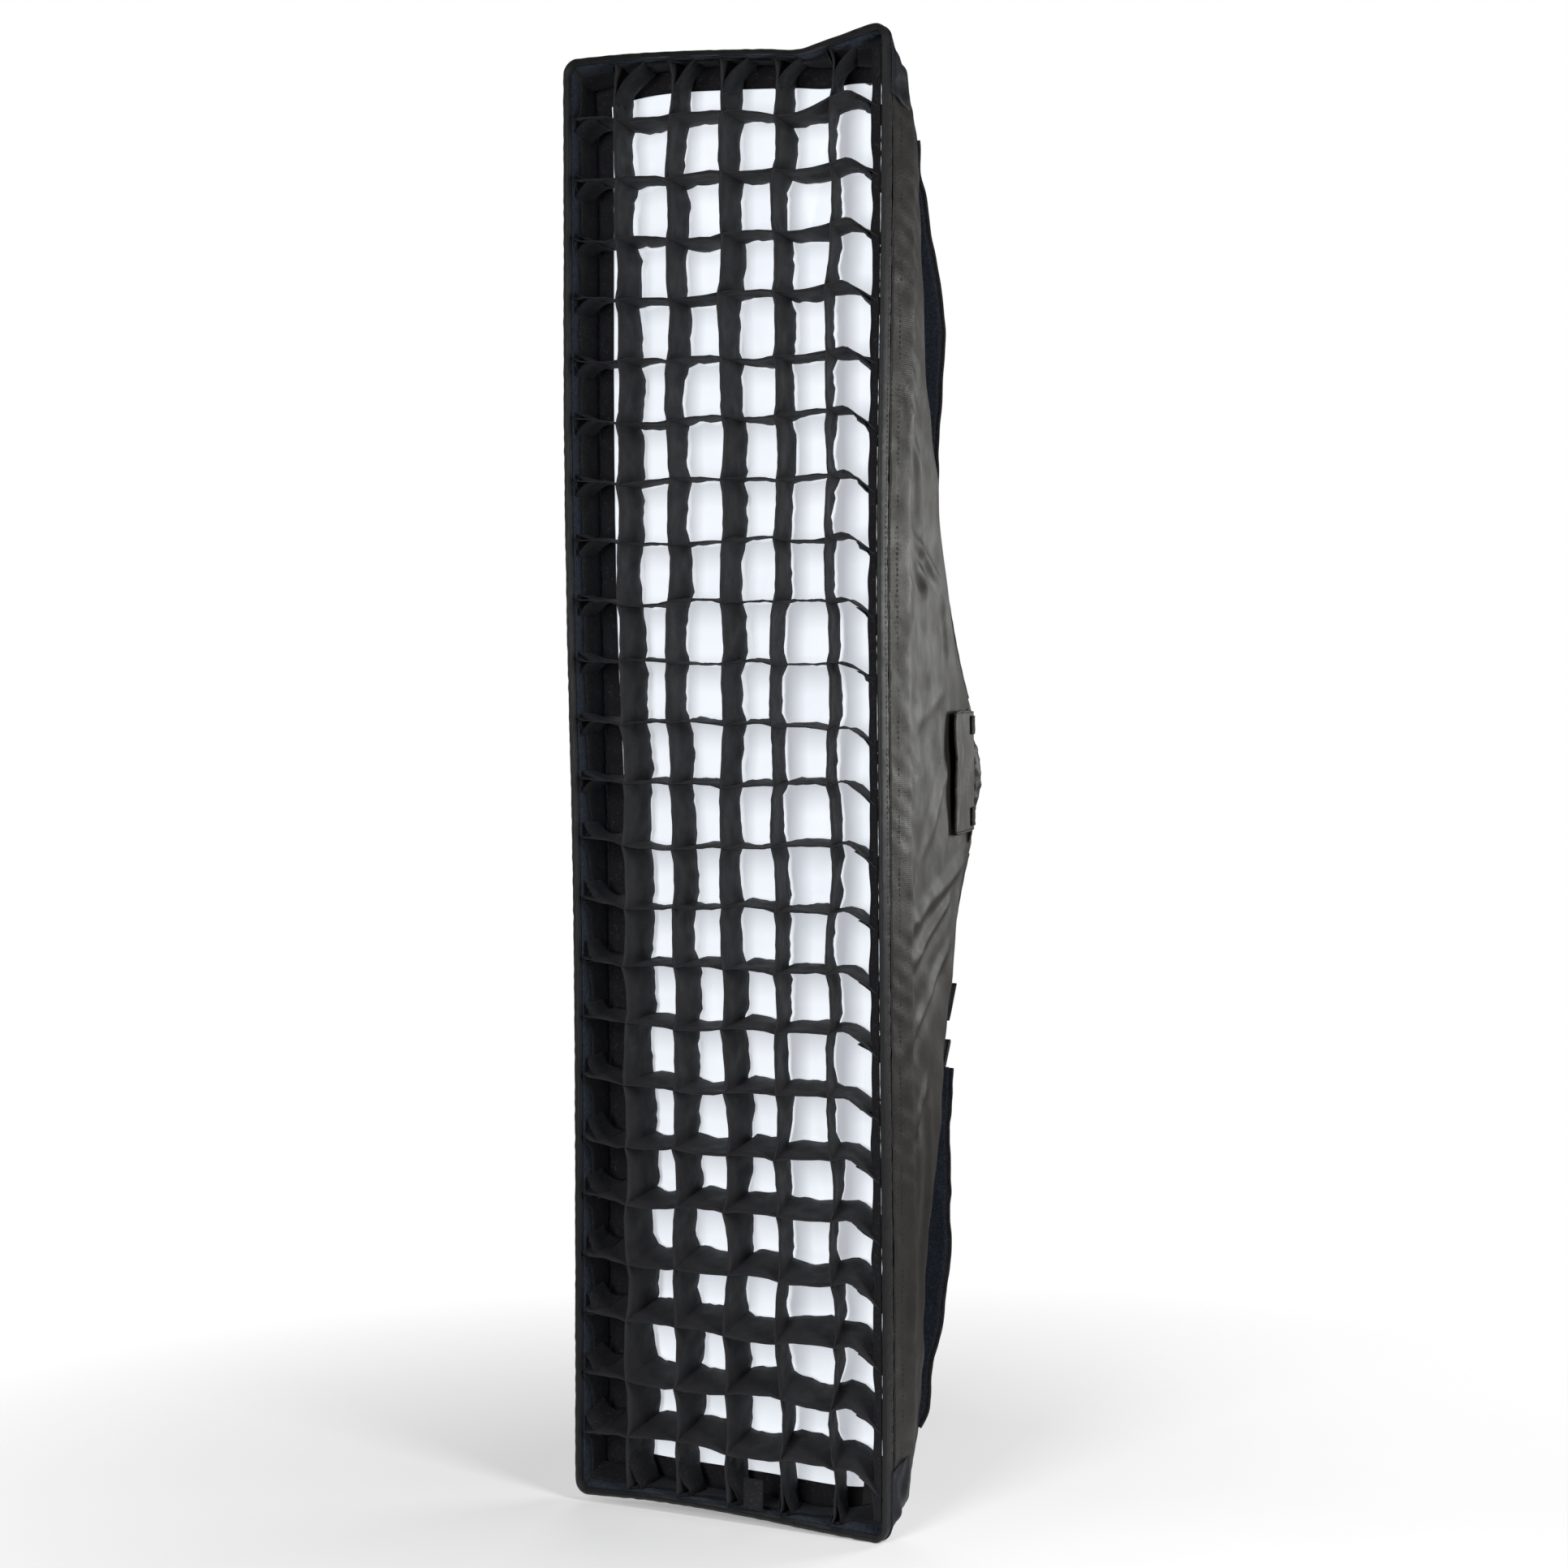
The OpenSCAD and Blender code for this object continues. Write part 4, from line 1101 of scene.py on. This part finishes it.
def ribbon(kind, line):
    """Front-to-rear grid of one strip's mid-surface."""
    steps = 10
    q = np.linspace(0, 1, 7)
    nodes, bulge = [], []
    count = ROWS if kind == "long" else COLS
    for m in range(count):
        k, r = (line, m) if kind == "long" else (m, line)
        nodes.append(grid_nodes(k, r, q))
        bulge.append((BULGE_LONG if kind == "long" else BULGE_CROSS)[k, r])
    cols, places = [], []
    for m in range(count - 1):
        for s in np.arange(steps + (m == count - 2)) / steps:
            point = nodes[m] * (1 - s) + nodes[m + 1] * s
            shape = min(s / 0.2, 1.0, (1 - s) / 0.2)
            side = 0 if kind == "long" else 1
            point[:, side] += bulge[m] * shape * (0.55 + 0.45 * q)
            if kind == "cross" and m == count - 2:
                point[:, 1] += 8 * min(s / 0.35, (1 - s) / 0.65)
            cols.append(point)
            places.append(s)
    xz = np.array(cols).transpose(1, 0, 2)
    s = np.array(places)[None]
    front = front_at(xz[0:1, :, 0], xz[0:1, :, 1]) + 1.2 * 4 * s * (1 - s)
    rear = GRID_FRONT + GRID_DEPTH - 1.5 * 4 * s * (1 - s)
    depth = front + (rear - front) * q[:, None]
    p = np.stack([xz[..., 0], FRONT_Y + depth, xz[..., 1]], -1)
    seed = line + (200 if kind == "long" else 300)
    flutter = (0.9 * ripple(p, 14, seed) + 0.6 * ripple(p, 6, seed + 50)) * (0.35 + 0.65 * q[:, None])
    shape = np.minimum(smooth(0, 0.18, s), 1 - smooth(0.82, 1, s))
    p[..., 0 if kind == "long" else 2] += flutter * (0.25 + 0.75 * shape)
    p[..., 1] += 0.5 * ripple(p, 9, seed + 80) * smooth(0.7, 1, q)[:, None]
    edge = smooth(140, 144, np.abs(p[..., 0])) + smooth(588, 594, np.abs(p[..., 2]))
    shift = np.stack([1.5 * (1 - q), 0 * q, -2.0 * (1 - q)], -1)[:, None]
    return warp(p + shift * (1 - np.clip(edge, 0, 1))[..., None])


def make_grid():
    b = Build()
    for k in range(1, 6):
        b.shell(ribbon("long", k) + np.array([0.45, 0, 0]), 0.9)
    place("grid_long_strips", b, "ribbon", "grid")
    b = Build()
    for r in range(1, 24):
        b.shell(ribbon("cross", r) + np.array([0, 0, 0.45]), 0.9)
    place("grid_cross_strips", b, "ribbon", "grid")
    make_border()
    make_gussets()
    b = Build()
    q = oriented((25, FRONT_Y + 1.6, -582), (0, 0, 1), (1, 0, 0), (0, -1, 0), (26, 18), 0.4, 161)
    b.shell(warp(q), 1.0)
    place("grid_tab", b, "band", "grid")


def make_border():
    p = ring("all", np.linspace(18, 44, 10), -3.9, (560, 130), 7.0)
    x, z = p[0, :, 0], p[0, :, 2]
    on_side = np.abs(x) > 145.9
    place_on = np.where(on_side, z, x)
    off = np.abs(place_on - CELL * np.round(place_on / CELL))
    end = np.where(on_side, np.abs(np.round(place_on / CELL)) < 12, np.abs(np.round(place_on / CELL)) < 3)
    peak = np.clip(1 - off / 11, 0, 1) ** 1.3 * end
    front = 18 - 12.5 * peak + 1.2 * ripple(p[0], 18, 171)
    share = np.linspace(0, 1, 10)[:, None]
    p[..., 1] = FRONT_Y + front * (1 - share) + 44 * share
    inward = 0.5 * np.abs(ripple(p, 16, 172)) * (1 - share)
    p = p - grid_normals(p, wrap_v=True) * inward[..., None]
    b = Build()
    b.shell(warp(p), 1.3, wrap_v=True)
    s, z = np.meshgrid(np.linspace(0, 1, 5), np.linspace(-584, 584, 420), indexing="ij")
    lean = np.stack([145.8 - 8.5 * s, FRONT_Y + 3.2 + 2.6 * s, z], -1)
    lean[..., 0] += s * (0.8 * ripple(lean, 12, 173) + 0.6 * ripple(lean, 50, 174))
    b.shell(warp(lean), 1.0)
    place("grid_border", b, "band", "grid")


def make_gussets():
    """Folded ends that spread each strip where it is sewn to the border."""
    b = Build()
    pick = np.random.default_rng(17)
    ends = [("cross", r, sx) for r in range(1, ROWS - 1) for sx in (-1, 1)]
    ends += [("long", k, sz) for k in range(1, COLS - 1) for sz in (-1, 1)]
    for kind, line, sign in ends:
        along, across = (0, 2) if kind == "cross" else (2, 0)
        wall = 144.4 if kind == "cross" else 594.4
        strip = ribbon(kind, line)
        reach, wide = (20.0, 13.0) if kind == "cross" else (34.0, 20.0)
        near = np.argmin(np.abs(strip[0, :, along] * sign - (wall - reach)))
        start, home = strip[:, near], strip[:, -1 if sign > 0 else 0]
        towards = -1 if kind == "cross" and line > 11 else 1
        if kind == "long" and sign < 0:
            wide = 9.0
        for spread in (towards * wide, -towards * wide * 0.35):
            spread *= pick.uniform(0.8, 1.15)
            t = np.linspace(0, 1, 8)[:, None, None]
            q = np.linspace(0, 1, 7)
            end, begin = home.copy(), start.copy()
            end[:, across] += spread
            end[:, 1] = FRONT_Y + pick.uniform(7, 11) + 24 * q
            begin[:, 1] = start[0, 1] + 0.5 + (start[-1, 1] - start[0, 1]) * 0.85 * q
            p = begin[None] * (1 - t) + end[None] * t
            p[..., across] -= np.sin(t[..., 0] * math.pi) * spread * 0.3
            b.shell(p + 0.5 * ripple(p, 9, line)[..., None], 0.7)
    place("grid_end_folds", b, "band", "grid", stands_in=False)


# ---- Sewing ----

def stitches(build, path, pitch, length):
    """Short raised threads along a path."""
    radius = 0.28
    steps = np.linalg.norm(np.diff(path, axis=0), axis=1)
    places = np.concatenate([[0], np.cumsum(steps)])
    starts = np.arange(0, places[-1] - length, pitch)
    for at in starts:
        s = at + np.linspace(0, length, 4)
        line = np.stack([np.interp(s, places, path[:, k]) for k in range(3)], 1)
        build.tube(line, radius * np.array([0.4, 1, 1, 0.4]), 5, up=(0.3, 1, 0.2))


def make_sewing():
    b = Build()
    for depth, out in ((8.6, 1.75), (15.6, 1.5), (28.5, 1.5)):
        p = warp(ring("all", depth, out, (300, 70)))[0]
        stitches(b, np.concatenate([p, p[:1]]), 4.2, 3.0)
    place("rim_stitching", b, "thread", "box", stands_in=False)


# ---- Hardware ----

def finish_hardware():
    looks = {"ring_insert": "alloy", "ring_body": "black_metal", "ring_retainer": "black_metal",
             "retainer_screws": "screw", "socket_screws": "screw", "lock_knob": "plastic",
             "brake_shoe": "plastic", "rod_tip_caps": "rubber"}
    for name in CORNER_NAMES:
        looks["rod_" + name] = "rod"
        looks["rod_socket_" + name] = "socket"
    for node, look in looks.items():
        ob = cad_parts[node]
        ob.data.materials.clear()
        ob.data.materials.append(MAT[look])


# ---- Studio ----

def area_light(name, place_at, target, size, power, colour=(1, 1, 1)):
    data = bpy.data.lights.new(name, "AREA")
    data.shape, data.size, data.size_y = "RECTANGLE", size[0], size[1]
    data.energy, data.color = power, colour
    ob = bpy.data.objects.new(name, data)
    bpy.context.scene.collection.objects.link(ob)
    ob.location = place_at
    ob.rotation_euler = (Vector(target) - Vector(place_at)).to_track_quat("-Z", "Y").to_euler()


def fading_floor():
    """A pale floor that thins out to the white behind it, so that no horizon shows."""
    k = Nodes("studio_floor")
    tone = k.ramp(k.noise(400.0, 3.0), (0.3, "f4f4f4"), (0.7, "fafafa"))
    k.fix(Roughness=0.85, Specular_IOR_Level=0.1, Emission_Color=rgb("ffffff"), Emission_Strength=0.3)
    k.link(tone, k.shader.inputs["Base Color"])
    far = k.new("TexGradient", gradient_type="SPHERICAL")
    shrink = k.new("Mapping")
    shrink.inputs["Scale"].default_value = (0.75, 0.75, 1.0)
    k.link(k.coords.outputs["Object"], shrink.inputs["Vector"])
    k.link(shrink.outputs[0], far.inputs["Vector"])
    clear = k.new("BsdfTransparent")
    blend = k.new("MixShader")
    k.link(k.ramp(far.outputs["Fac"], (0.3, 0.0), (0.8, 1.0)), blend.inputs[0])
    k.link(clear.outputs[0], blend.inputs[1])
    k.link(k.shader.outputs[0], blend.inputs[2])
    k.link(blend.outputs[0], k.tree.nodes["Material Output"].inputs["Surface"])
    return k.mat


def white_surround():
    """White all round, seen bright and lighting softly."""
    world = bpy.data.worlds.new("studio")
    bpy.context.scene.world = world
    world.use_nodes = True
    tree = world.node_tree
    back = tree.nodes["Background"]
    back.inputs["Color"].default_value = (1, 1, 1, 1)
    rays = tree.nodes.new("ShaderNodeLightPath")
    level = tree.nodes.new("ShaderNodeMapRange")
    level.inputs["To Min"].default_value = 0.07
    level.inputs["To Max"].default_value = 1.0
    tree.links.new(rays.outputs["Is Camera Ray"], level.inputs["Value"])
    tree.links.new(level.outputs["Result"], back.inputs["Strength"])


def make_studio():
    floor = bpy.data.meshes.new("floor")
    w, z = 1.6, -0.606
    floor.from_pydata([(-w, -w, 0), (w, -w, 0), (w, w, 0), (-w, w, 0)], [], [(0, 1, 2, 3)])
    ob = bpy.data.objects.new("floor", floor)
    ob.location = (0, -0.15, z)
    bpy.context.scene.collection.objects.link(ob)
    floor.materials.append(fading_floor())
    white_surround()
    area_light("key", (0.35, -3.3, 0.5), (0, -0.3, 0), (1.0, 1.8), 52)
    area_light("side", (0.95, -0.75, 0.15), (0.12, -0.16, 0.06), (0.3, 0.55), 7.5)
    area_light("behind", (0.6, 1.0, 0.14), (0.13, -0.2, 0.06), (0.6, 0.45), 7.0)
    area_light("back", (-1.6, 2.4, 1.6), (0, 0, 0), (1.6, 1.6), 16)


make_skin()
make_linings()
make_lip()
make_patches()
make_welts()
make_flaps()
make_straps()
make_collar()
make_access()
make_pockets()
make_diffuser()
make_baffle()
make_grid()
make_sewing()
finish_hardware()
make_studio()
bpy.context.scene.view_settings.view_transform = "Standard"
